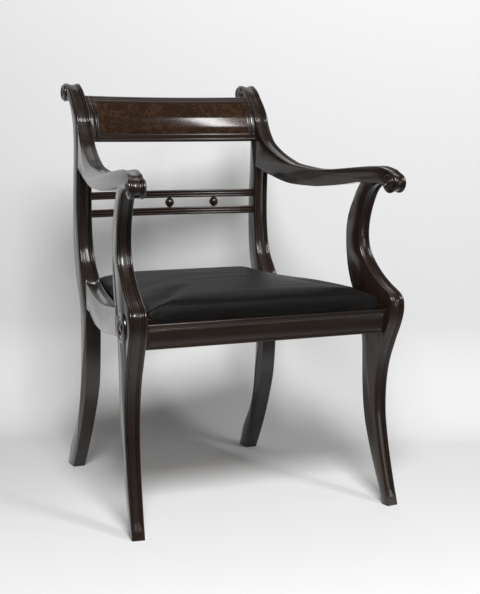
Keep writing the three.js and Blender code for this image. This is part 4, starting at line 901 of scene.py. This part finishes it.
flame_wood = bpy.data.materials.new("crotch_mahogany_flame")
flame_shader = shader(flame_wood, {
    "IOR": 1.45, "Specular IOR Level": 0.0, "Coat Weight": 1.0, "Coat Roughness": 0.11, "Coat IOR": 1.5,
})
tree = flame_wood.node_tree
leaf = node(tree, "ShaderNodeGroup", {
    "Dark Wood": (0.021, 0.011, 0.0065, 1), "Light Wood": (0.050, 0.026, 0.015, 1),
    "Place": stretched(tree, (16, 16, 24)),
}, node_tree=flame).outputs
link(tree, flame_shader, {
    "Base Color": leaf["Color"], "Roughness": ranged(tree, leaf["Figure"], to_low=0.42, to_high=0.3),
    "Normal": relief(tree, leaf["Figure"], 0.1, 0.0003),
})


def veneer_ring(x):
    shares = np.linspace(veneer_low + 0.0006, veneer_high - 0.0006, 26)
    front = [crest_place(x, s, veneer_sink + (0.0001 if s in (shares[0], shares[-1]) else 0)) for s in shares]
    back = [crest_place(x, s, veneer_sink + veneer_thickness) for s in shares[::-1]]
    return np.array(front + back)


veneer_end = veneer_half - 0.00012
veneer = ringed(
    "crest_leaf", [veneer_ring(x) for x in np.linspace(veneer_end, -veneer_end, 80)], flame_wood, way=-1,
)
put(veneer, "crotch_mahogany", "frame", "crest_veneer")

# ---------------------------------------------------------------- cross rods
# Two bowed rods below the crest, each planed with three reeds in front, tenoned into the posts.
rod_height, rod_depth = 0.0168, 0.015
rod_forward, rod_bow = frame_depth * 0.114, 0.015
crest_to_rod = 0.1076
ball_diameter, ball_gap = 0.0205, 0.0003
upper_rod = crest_bottom - crest_to_rod - rod_height / 2
lower_rod = upper_rod - rod_height - ball_diameter - 2 * ball_gap


def rod_middle(x):
    return rod_forward - bow_at(x, rod_bow) - rod_depth / 2


def rod_section():
    """(depth, height) shares of a rod's half sizes: three reeds in front, a plain rounded back."""
    section = []
    for middle, half in ((-0.667, 0.333), (0, 0.333), (0.667, 0.333)):
        for u in np.linspace(-1, 1, 9):
            section.append((0.74 + 0.26 * math.sqrt(max(1 - u * u, 0)), middle + half * u))
    corner = np.linspace(0, math.pi / 2, 5)
    section += [(0.55, 1.0)] + [(-0.75 - 0.25 * math.sin(a), 0.75 + 0.25 * math.cos(a)) for a in corner]
    section += [(-0.75 - 0.25 * math.cos(a), -0.75 - 0.25 * math.sin(a)) for a in corner] + [(0.55, -1.0)]
    return section


section, rod_stations = rod_section(), 73
for name, height in (("upper", upper_rod), ("lower", lower_rod)):
    rings = [
        [
            (x, middle_forward - rod_middle(x) - deep * rod_depth / 2, height + high * rod_height / 2)
            for deep, high in section
        ]
        for x in np.linspace(crest_half, -crest_half, rod_stations)
    ]
    groove = np.tile([1.0 if 0.735 < deep < 0.76 else 0.0 for deep, high in section], rod_stations)
    made = ringed(f"{name}_rod", rings, across_mahogany, {"groove": groove}, -1)
    put(made, "mahogany", "frame", f"{name}_cross_rod")

# ---------------------------------------------------------------- balls
# Three turned balls stand between the rods, held by dowels turned on their ends.
ball_spacing, dowel_radius, dowel_length = 0.105, 0.003, 0.004
ball_height = (upper_rod + lower_rod) / 2
ball_radius = ball_diameter / 2
dowel_angle = math.asin((dowel_radius + 0.0006) / ball_radius)
ball_profile = [
    (dowel_radius, -ball_radius - dowel_length), (dowel_radius, -ball_radius - 0.0001),
    (dowel_radius + 0.0004, -ball_radius + 0.0003),
]
ball_turns = np.linspace(dowel_angle, math.pi - dowel_angle, 31)
ball_profile += [(ball_radius * math.sin(a), -ball_radius * math.cos(a)) for a in ball_turns]
ball_profile += [(radius, -height) for radius, height in ball_profile[2::-1]]
for x, name in ((-ball_spacing, "ball_right"), (0, "ball_middle"), (ball_spacing, "ball_left")):
    made = turned(
        f"{name}_turned", ball_profile,
        lambda r, h, a, x=x: np.stack([
            x + r * np.cos(a), middle_forward - rod_middle(x) + r * np.sin(a), ball_height + h + 0 * a,
        ], -1),
        segments=48,
    )
    put(made, "mahogany", "frame", name)

# ---------------------------------------------------------------- front rail
# A plain board tenoned between the knees. Its face leans back a little toward the bottom and is scored with
# three fine lines, and the lip along its top hides the edge of the loose seat.
front_rail_height, front_rail_lean, front_rail_thickness, front_lip = 0.049, 0.010, 0.034, 0.008
front_rail_forward = frame_depth * 0.9717
front_rail_bottom = rail_top - front_rail_height
score_width, score_depth, score_stop = 0.0016, 0.001, 0.007
score_shares = (0.155, 0.74, 0.81)
score_cut = ((-0.62, 0), (-0.5, 0.08), (-0.2, 0.85), (0, 1), (0.2, 0.85), (0.5, 0.08), (0.62, 0))
leg_inner = leg_near + leg_width
leg_inner_start = leg_shoulder * splay_cos + leg_inner * splay_sin
leg_offset = plane_start - leg_inner * splay_sin * math.tan(splay) - leg_inner * splay_cos


def inner_face(forward):
    """The inner face of a side frame at seat height, as a distance from the middle of the chair."""
    at_leg = leg_offset + leg_inner_start * math.tan(splay)
    t = np.clip((forward - side_rail_joint) / (leg_inner_start - side_rail_joint), 0, 1)
    between = crest_half * (1 - t) + at_leg * t
    return np.where(forward >= leg_inner_start, leg_offset + forward * math.tan(splay), between)


def front_rail_ring(side, inset, scored):
    """The section of the front rail at one end or the other; scored is how deep its lines are there."""
    def face(share):
        return front_rail_forward - front_rail_lean * (1 - share)

    foot = face(0)
    section = [
        (foot - 0.0012, front_rail_bottom), (foot - 0.0003, front_rail_bottom + 0.0003),
        (foot, front_rail_bottom + 0.0012),
    ]
    for share in score_shares:
        middle = front_rail_bottom + front_rail_height * share
        section += [
            (face(share) - deep * scored * score_depth, middle + off * score_width) for off, deep in score_cut
        ]
    arris = 0.0022
    section += [
        (front_rail_forward - arris * (1 - math.cos(a)), rail_top - arris * (1 - math.sin(a)))
        for a in np.linspace(0, math.pi / 2, 7)
    ]
    lip, back, soft = front_rail_forward - front_lip, front_rail_forward - front_rail_thickness, 0.0008
    section += [
        (lip + 0.0006, rail_top), (lip, rail_top - 0.0006), (lip, ledge_top), (back + soft, ledge_top),
        (back, ledge_top - soft), (back, front_rail_bottom + soft), (back + soft, front_rail_bottom),
    ]
    return [(side * (float(inner_face(f)) - inset), middle_forward - f, z) for f, z in section]


front_insets = [(0, 0), (score_stop, 0), (score_stop + score_width * 0.5, 0.75), (score_stop + score_width, 1)]
front_rings = [front_rail_ring(1, inset, scored) for inset, scored in front_insets]
front_rings += [front_rail_ring(-1, inset, scored) for inset, scored in front_insets[::-1]]
front = ringed("front_board", front_rings, across_mahogany, way=-1)
put(front, "mahogany", "frame", "front_rail")

# ---------------------------------------------------------------- rear rail and glue blocks
# The rear rail carries the back of the loose seat, and beech blocks are glued into the four corners. They are
# plain sawn pieces, so the solids themselves are shown.
beech_tones = (0.30, 0.19, 0.10, 1), (0.46, 0.33, 0.19, 1)


def finish_node(name, finish):
    """Gives a CAD node that stays its finish, on the object's own slots."""
    for held in nodes[name].material_slots:
        held.link = "OBJECT"
        held.material = finish


beech_across, beech_deep = (
    wood(name, stretch, beech_tones, 0.25, (0.66, 0.2), 0.35, {"IOR": 1.45})[0]
    for name, stretch in (("beech_across", (3, 30, 30)), ("beech_deep", (30, 3, 30)))
)
finish_node("rear_rail", across_mahogany)
for corner in ("rear_corner_block", "front_corner_block"):
    for side, name in sides:
        finish_node(f"{corner}_{name}", beech_deep)

# ---------------------------------------------------------------- frame of the loose seat
# Four beech rails, jointed flat, drop into the rebate. They show only when the seat is lifted or from below.
seat_rails = ["seat_frame_front", "seat_frame_rear", "seat_frame_left", "seat_frame_right"]
for rail, finish in zip(seat_rails, (beech_across, beech_across, beech_deep, beech_deep)):
    finish_node(rail, finish)
seat_gap, draw_in = 0.0016, 0.001
seat_bottom = ledge_top + 0.0003
seat_frame_thickness, cover_thickness = 0.020, 0.0018
seat_frame_top = seat_bottom + seat_frame_thickness
seat_front = front_rail_forward - front_lip - seat_gap
frame_inset = draw_in + cover_thickness + 0.0003
frame_width = 0.046
rear_set_in = 0.004
frame_rear = float(post_back(ledge_top)) + rear_set_in + frame_inset
frame_front = seat_front - frame_inset
side_start, side_end = frame_rear + frame_width, frame_front - frame_width

# ---------------------------------------------------------------- webbing
# Three webs run each way over the seat frame, woven over and under each other and tacked down at their ends.
web_width, web_thickness, web_gap = 0.052, 0.0016, 0.0003
web_base = seat_frame_top + web_gap
web_rise = web_thickness + 2 * web_gap
web_hold = frame_width / 2
deep_step = (side_end - side_start) / 3


def seat_side(forward, inset):
    """Half the seat's width at a place along the chair."""
    return inner_face(forward) - seat_gap - inset


wide_step = (float(seat_side(side_start, frame_inset)) - frame_width) * 2 / 3


weave, given, weave_out = group("plain_weave", {
    "Place": ("Vector", None), "Thread": ("Color", (0.3, 0.22, 0.13, 1)), "Gap": ("Color", (0.08, 0.055, 0.03, 1)),
}, {"Color": "Color", "Height": "Float"})
weave_parts = node(weave, "ShaderNodeSeparateXYZ", {0: given["Place"]}).outputs
wave_x, wave_y = (
    sums(weave, "SINE", sums(weave, "MULTIPLY", weave_parts[axis], math.pi)) for axis in (0, 1)
)
crossing = sums(weave, "GREATER_THAN", sums(weave, "MULTIPLY", wave_x, wave_y), 0.0)
thread_x, thread_y = sums(weave, "ABSOLUTE", wave_x), sums(weave, "ABSOLUTE", wave_y)
weave_height = blend(weave, crossing, thread_x, thread_y, "FLOAT")
weave_tone = sums(weave, "MULTIPLY", weave_height, noise(weave, given["Place"], 0.35, 3.0)[0])
weave_color = blend(weave, ranged(weave, weave_tone, 0.05, 0.5), given["Gap"], given["Thread"])
link(weave, weave_out, {"Color": weave_color, "Height": weave_height})


def woven(name, pitch, thread, gap, roughness):
    """A plain-woven cloth with one thread each pitch."""
    made = bpy.data.materials.new(name)
    bsdf = shader(made, {"Roughness": roughness, "Specular IOR Level": 0.3})
    tree = made.node_tree
    cloth = node(tree, "ShaderNodeGroup", {
        "Thread": thread, "Gap": gap, "Place": stretched(tree, (1 / pitch, 1 / pitch, 1 / pitch)),
    }, node_tree=weave).outputs
    link(tree, bsdf, {"Base Color": cloth["Color"], "Normal": relief(tree, cloth["Height"], 0.6, 0.0004)})
    return made


web_finish = woven("jute_web", 0.0014, (0.30, 0.215, 0.12, 1), (0.06, 0.04, 0.02, 1), 0.92)


def web_ring(place, lift, along_x, middle):
    half, thick, edge = web_width / 2, web_thickness, 0.0004
    section = [
        (-half + edge, 0), (half - edge, 0), (half, edge), (half, thick - edge), (half - edge, thick),
        (-half + edge, thick), (-half, thick - edge), (-half, edge),
    ]
    if along_x:
        return [(place, middle + across, web_base + lift + high) for across, high in section]
    return [(middle - across, place, web_base + lift + high) for across, high in section]


def web(name, node_name, length, crossings, along_x, middle, start):
    """A web whose lift rises to pass over its crossings, given as (place along it, lift)."""
    half = web_width / 2 + 0.003
    knots = [(-length / 2, 0)]
    for place, lift in sorted(crossings):
        knots += [(place - half, lift), (place + half, lift)]
    knots.append((length / 2, 0))
    rings = []
    for (low, lift_low), (high, lift_high) in zip(knots, knots[1:]):
        for t in np.linspace(0, 1, 9)[:-1]:
            rise = t * t * (3 - 2 * t)
            lift = lift_low + (lift_high - lift_low) * rise
            rings.append(web_ring(start + low + (high - low) * t, lift, along_x, middle))
    rings.append(web_ring(start + length / 2, 0, along_x, middle))
    made = ringed(name, rings, web_finish, way=-1)
    put(made, "hessian", "slip_seat", node_name)


web_middle = (side_start + side_end) / 2
for i, place in enumerate((-1, 0, 1)):
    lifts = [(web_rise if (i + k) % 2 else 0) for k in range(3)]
    web(
        f"long_web_{i + 1}", f"lengthwise_web_{i + 1}", side_end - side_start + 2 * web_hold,
        [(-other * deep_step, lift) for other, lift in zip((-1, 0, 1), lifts)], False, place * wide_step,
        middle_forward - web_middle,
    )
    forward_place = web_middle + place * deep_step
    width = (float(seat_side(forward_place - web_width / 2, frame_inset)) - frame_width + web_hold) * 2
    lifts = [(web_rise if (i + k + 1) % 2 else 0) for k in range(3)]
    web(
        f"cross_web_{i + 1}", f"crosswise_web_{i + 1}", width,
        [(other * wide_step, lift) for other, lift in zip((-1, 0, 1), lifts)], True,
        middle_forward - forward_place, 0.0,
    )

# ---------------------------------------------------------------- sackcloth
# A sheet of jute stretched over the webbing keeps the stuffing up. It sags a little in the squares between webs.
seat_corner = 0.010
sack_thickness, sack_sag, web_reach, web_ease = 0.0009, 0.0014, 0.006, 0.014
sack_top = web_base + web_rise + web_thickness + 0.0003 + 0.0012
seat_middle = (float(post_back(rail_top)) + seat_front) / 2


def corner_curve(start, corner, end, count=8):
    """A softened corner between two straight edges."""
    t = np.linspace(0, 1, count)[:, None]
    start, corner, end = np.array(start), np.array(corner), np.array(end)
    return [tuple(p) for p in start * (1 - t) ** 2 + corner * 2 * t * (1 - t) + end * t * t]


def seat_plan(inset, height):
    """The seat's outline at a height as (x, forward) pairs, evenly spaced, moved in by an inset."""
    rear = float(post_back(height)) + rear_set_in + inset
    front_edge = seat_front - inset
    rear_side, front_side = float(seat_side(rear, inset)), float(seat_side(front_edge, inset))
    turn = front_edge - seat_corner
    turn_side = float(seat_side(turn, inset))
    half = [(0, rear)]
    half += corner_curve((rear_side - seat_corner, rear), (rear_side, rear), (rear_side, rear + seat_corner))
    half += [(float(seat_side(f, inset)), f) for f in np.linspace(side_rail_joint, leg_inner_start, 12)]
    half += corner_curve((turn_side, turn), (front_side, front_edge), (front_side - seat_corner, front_edge))
    half.append((0, front_edge))
    ring = np.array(half + [(-x, f) for x, f in half[-2:0:-1]])
    closed = np.concatenate([ring, ring[:1]])
    walked = np.concatenate([[0], np.cumsum(np.hypot(*np.diff(closed, axis=0).T))])
    at = np.linspace(0, walked[-1], 361)[:-1]
    return np.stack([np.interp(at, walked, closed[:, 0]), np.interp(at, walked, closed[:, 1])], -1)


def web_cover(x, y):
    """How far inside the band of a web a place is: 1 on a web and 0 in the open squares."""
    best = np.zeros_like(x)
    for place in (-1, 0, 1):
        for off in (x - place * wide_step, y - (middle_forward - web_middle - place * deep_step)):
            best = np.maximum(best, np.clip((web_width / 2 + web_reach - np.abs(off)) / web_ease, 0, 1))
    return best


def sheet_mesh(name, plan, top, thickness, sag, finish):
    """A flat sheet with a closed edge, sagging by sag where no web carries it."""
    shares = np.linspace(1, 0.05, 36)
    middle = np.array([0, seat_middle])
    ring_points = np.array([middle + (plan - middle) * s for s in shares])
    x, y = ring_points[..., 0], middle_forward - ring_points[..., 1]
    inside = np.clip((1 - shares)[:, None] / 0.25, 0, 1)
    height = top - sag * (1 - web_cover(x, y)) * inside
    upper = np.stack([x, y, height], -1)
    lower = np.stack([x, y, height - thickness], -1)
    return ringed(name, np.concatenate([lower[::-1], upper]), finish)


sack_finish = woven("jute_sacking", 0.0022, (0.34, 0.25, 0.15, 1), (0.09, 0.06, 0.035, 1), 0.95)
sack_plan = seat_plan(frame_inset, seat_frame_top)
sack = sheet_mesh("sacking", sack_plan, sack_top, sack_thickness, sack_sag, sack_finish)
put(sack, "hessian", "slip_seat", "sackcloth")

# ---------------------------------------------------------------- haircloth seat
# Curled hair under black haircloth. The cloth is drawn down over the edges of the seat frame, so the pad has a
# soft roll all round, a low crown, and corners that fall away in front. It swells in a cloth simulation.
cushion_base = sack_top + 0.0005
cushion_roll = 0.015
corner_drop = 0.012
cushion_top = rail_top + 0.047
edge_rise_shares = [
    (0, 0.028), (0.15, 0.0285), (0.3, 0.0265), (0.45, 0.0250), (0.58, 0.0265), (0.72, 0.031), (0.86, 0.0365),
    (1, 0.0385),
]
edge_rise = smooth(edge_rise_shares)
swell_cap, pad_face, pad_sharp_angle = 0.005, 0.0055, math.radians(50)


def edge_top(x, forward):
    """The height of the pad's edge, which is low beside the sagging rails and falls away at the front corners."""
    across = np.minimum(np.abs(x) / seat_side(forward, 0), 1)
    deep = forward / seat_front
    return rail_top + edge_rise(deep) - corner_drop * across**14 * deep**14


def pad_rings():
    """The pad's start shape before it swells, from its bottom edge up the sides and in over the crown."""
    rings = []
    outside = seat_plan(draw_in, rail_top)
    for share in np.linspace(0, 1, 8):
        low = seat_bottom + (edge_top(outside[:, 0], outside[:, 1]) - cushion_roll - seat_bottom) * share
        rings.append(np.stack([outside[:, 0], middle_forward - outside[:, 1], low], -1))
    for a in np.linspace(0, math.pi / 2, 9)[1:]:
        plan = seat_plan(draw_in + cushion_roll * (1 - math.cos(a)), rail_top)
        height = edge_top(outside[:, 0], outside[:, 1]) - cushion_roll * (1 - math.sin(a))
        rings.append(np.stack([plan[:, 0], middle_forward - plan[:, 1], height], -1))
    rim = rings[-1]
    centre = np.array([0, middle_forward - seat_middle])
    for share in np.linspace(0.97, 0.04, 26):
        flat = centre + (rim[:, :2] - centre) * share
        height = cushion_top - (cushion_top - rim[:, 2]) * share**2.6
        rings.append(np.stack([flat[:, 0], flat[:, 1], height], -1))
    return np.array(rings)


haircloth = bpy.data.materials.new("haircloth_black")
pad = ringed("haircloth_pad", pad_rings(), haircloth)


def positions(mesh):
    got = np.empty(len(mesh.vertices) * 3, np.float64)
    mesh.vertices.foreach_get("co", got)
    return got.reshape(-1, 3)


def settle(made, changes):
    """The evaluated mesh of an object takes the place of its own, and its modifiers go."""
    graph = bpy.context.evaluated_depsgraph_get()
    settled = bpy.data.meshes.new_from_object(made.evaluated_get(graph), depsgraph=graph)
    for change in list(made.modifiers):
        made.modifiers.remove(change)
    old = made.data
    made.data = settled
    bpy.data.meshes.remove(old)
    if changes is not None:
        settled.vertices.foreach_set("co", changes(positions(settled)).ravel())
        settled.update()


remesh = pad.modifiers.new("even_faces", "REMESH")
remesh.mode = "VOXEL"
remesh.voxel_size = pad_face
settle(pad, None)
held_below, hold_fade, swell_steps = seat_frame_top + 0.002, 0.012, 20
before_swell = positions(pad.data)
edge_hold = pad.vertex_groups.new(name="held")
for i, height in enumerate(before_swell[:, 2]):
    hold = min(max((held_below + hold_fade - height) / hold_fade, 0), 1)
    if hold > 0:
        edge_hold.add([i], hold, "REPLACE")
cloth = pad.modifiers.new("swell", "CLOTH")
for key, value in {
    "quality": 6, "mass": 0.3, "tension_stiffness": 30, "compression_stiffness": 30, "shear_stiffness": 20,
    "bending_stiffness": 12, "use_pressure": True, "uniform_pressure_force": 3, "vertex_group_mass": "held",
}.items():
    setattr(cloth.settings, key, value)
cloth.settings.effector_weights.gravity = 0
cloth.collision_settings.use_collision = False
for step in range(1, swell_steps + 1):
    bpy.context.scene.frame_set(step)

def capped(points):
    """Holds each point within the swell's cap of where it started."""
    moved = points - before_swell
    far = np.linalg.norm(moved, axis=1, keepdims=True)
    keep = np.minimum(1, swell_cap / np.maximum(far, 1e-9))
    return before_swell + moved * keep

settle(pad, capped)
bpy.context.scene.frame_set(1)
eased = pad.modifiers.new("eased", "SMOOTH")
eased.iterations = 12
eased.factor = 0.5
settle(pad, None)
pad.data.shade_smooth()
finer = pad.modifiers.new("finer", "SUBSURF")
finer.levels = finer.render_levels = 1
settle(pad, None)

# The room for the frame, webs and sackcloth is cut out from below, so the cloth hangs down over the frame
room_plan = seat_plan(draw_in + cover_thickness, seat_frame_top)
room = ringed("seat_room", [
    [(x, middle_forward - f, height) for x, f in room_plan] for height in (seat_bottom - 0.01, cushion_base)
], haircloth)
cut = pad.modifiers.new("room", "BOOLEAN")
cut.operation = "DIFFERENCE"
cut.solver = "EXACT"
cut.object = room
settle(pad, None)
bpy.data.objects.remove(room, do_unlink=True)
pad.data.materials.clear()
pad.data.materials.append(haircloth)
pad.data.shade_smooth()
pad.data.set_sharp_from_angle(angle=pad_sharp_angle)

cloth_shader = shader(haircloth, {"IOR": 1.5, "Specular IOR Level": 0.09})
tree = haircloth.node_tree
hairs = noise(tree, stretched(tree, (18, 900, 900)), 1.0, 3.0, 0.7)[0]
bands = noise(tree, stretched(tree, (3, 40, 40)), 1.0, 2.0)[0]
hair_tone = ranged(tree, hairs, 0.35, 0.65)
link(tree, cloth_shader, {
    "Base Color": blend(tree, hair_tone, (0.003, 0.0028, 0.0026, 1), (0.009, 0.0083, 0.0077, 1)),
    "Roughness": ranged(tree, bands, 0.3, 0.7, 0.4, 0.5), "Normal": relief(tree, hairs, 0.35, 0.0002),
})
put(pad, "haircloth", "slip_seat", "haircloth_cover", "stuffing")

# ---------------------------------------------------------------- tacks round the seat
# A row of small japanned tacks runs round the seat frame near its lower edge, hidden in the rebate while the
# seat is down.
tack_spacing = 0.024
tack_row = bpy.data.node_groups.new("tack_row", "GeometryNodeTree")
for label, kind, value in (
    ("Line", "Geometry", None), ("Spacing", "Float", tack_spacing), ("Head", "Float", 0.006),
    ("Lean", "Float", 0.12), ("Seed", "Int", 7), ("Finish", "Material", None),
):
    socket = tack_row.interface.new_socket(label, in_out="INPUT", socket_type=f"NodeSocket{kind}")
    if value is not None:
        socket.default_value = value
tack_row.interface.new_socket("Tacks", in_out="OUTPUT", socket_type="NodeSocketGeometry")
row_in, row_out = tack_row.nodes.new("NodeGroupInput"), tack_row.nodes.new("NodeGroupOutput")
places = node(tack_row, "GeometryNodeCurveToPoints", {
    "Curve": row_in.outputs["Line"], "Length": row_in.outputs["Spacing"],
}, mode="LENGTH")
outside = node(
    tack_row, "ShaderNodeVectorMath", {0: places.outputs["Tangent"], 1: (0, 0, 1)}, operation="CROSS_PRODUCT",
)
facing = node(tack_row, "FunctionNodeAlignRotationToVector", {"Vector": outside.outputs[0]}, axis="Z")
most = row_in.outputs["Lean"]
least = sums(tack_row, "MULTIPLY", most, -1.0)
low_turn, high_turn = (
    node(tack_row, "ShaderNodeCombineXYZ", {0: turn, 1: turn}).outputs[0] for turn in (least, most)
)
lean = node(tack_row, "FunctionNodeRandomValue", {
    "Min": low_turn, "Max": high_turn, "Seed": row_in.outputs["Seed"],
}, data_type="FLOAT_VECTOR")
leaned = node(tack_row, "FunctionNodeRotateRotation", {
    "Rotation": facing.outputs[0], "Rotate By": lean.outputs[0],
}, rotation_space="LOCAL")
head = node(tack_row, "GeometryNodeMeshUVSphere", {
    "Segments": 12, "Rings": 6, "Radius": sums(tack_row, "MULTIPLY", row_in.outputs["Head"], 0.5),
})
dome = node(tack_row, "GeometryNodeTransform", {"Geometry": head.outputs["Mesh"], "Scale": (1, 1, 0.3)})
set_tacks = node(tack_row, "GeometryNodeInstanceOnPoints", {
    "Points": places.outputs["Points"], "Instance": dome.outputs[0], "Rotation": leaned.outputs[0],
})
real_tacks = node(tack_row, "GeometryNodeRealizeInstances", {"Geometry": set_tacks.outputs[0]})
blacked = node(tack_row, "GeometryNodeSetMaterial", {
    "Geometry": real_tacks.outputs[0], "Material": row_in.outputs["Finish"],
})
tack_row.links.new(blacked.outputs[0], row_out.inputs[0])

tack_black = bpy.data.materials.new("japanned_iron")
tack_shader = shader(tack_black, {"Metallic": 0.7, "IOR": 1.5})
tree = tack_black.node_tree
wear = noise(tree, spot(tree), 400.0, 2.0)[0]
link(tree, tack_shader, {
    "Base Color": blend(tree, wear, (0.01, 0.01, 0.011, 1), (0.06, 0.05, 0.045, 1)),
    "Roughness": ranged(tree, wear, to_low=0.3, to_high=0.55),
})

tack_height = seat_bottom + 0.006
tack_plan = seat_plan(draw_in - 0.0001, tack_height)
line = bpy.data.curves.new("tack_line", "CURVE")
line.dimensions = "3D"
path = line.splines.new("POLY")
path.points.add(len(tack_plan) - 1)
for point, (x, f) in zip(path.points, tack_plan):
    point.co = (x, middle_forward - f, tack_height, 1)
path.use_cyclic_u = True
tack_line = bpy.data.objects.new("tack_line", line)
bpy.context.scene.collection.objects.link(tack_line)
driven = tack_line.modifiers.new("tacks", "NODES")
driven.node_group = tack_row
chosen = {"Finish": tack_black, "Spacing": tack_spacing}
for item in tack_row.interface.items_tree:
    if item.item_type == "SOCKET" and item.in_out == "INPUT" and item.name in chosen:
        driven[item.identifier] = chosen[item.name]
graph = bpy.context.evaluated_depsgraph_get()
tack_mesh = bpy.data.meshes.new_from_object(tack_line.evaluated_get(graph), depsgraph=graph)
tacks = bpy.data.objects.new("seat_tacks", tack_mesh)
bpy.context.scene.collection.objects.link(tacks)
bpy.data.objects.remove(tack_line, do_unlink=True)
tack_mesh.shade_smooth()
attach(tacks, "slip_seat")
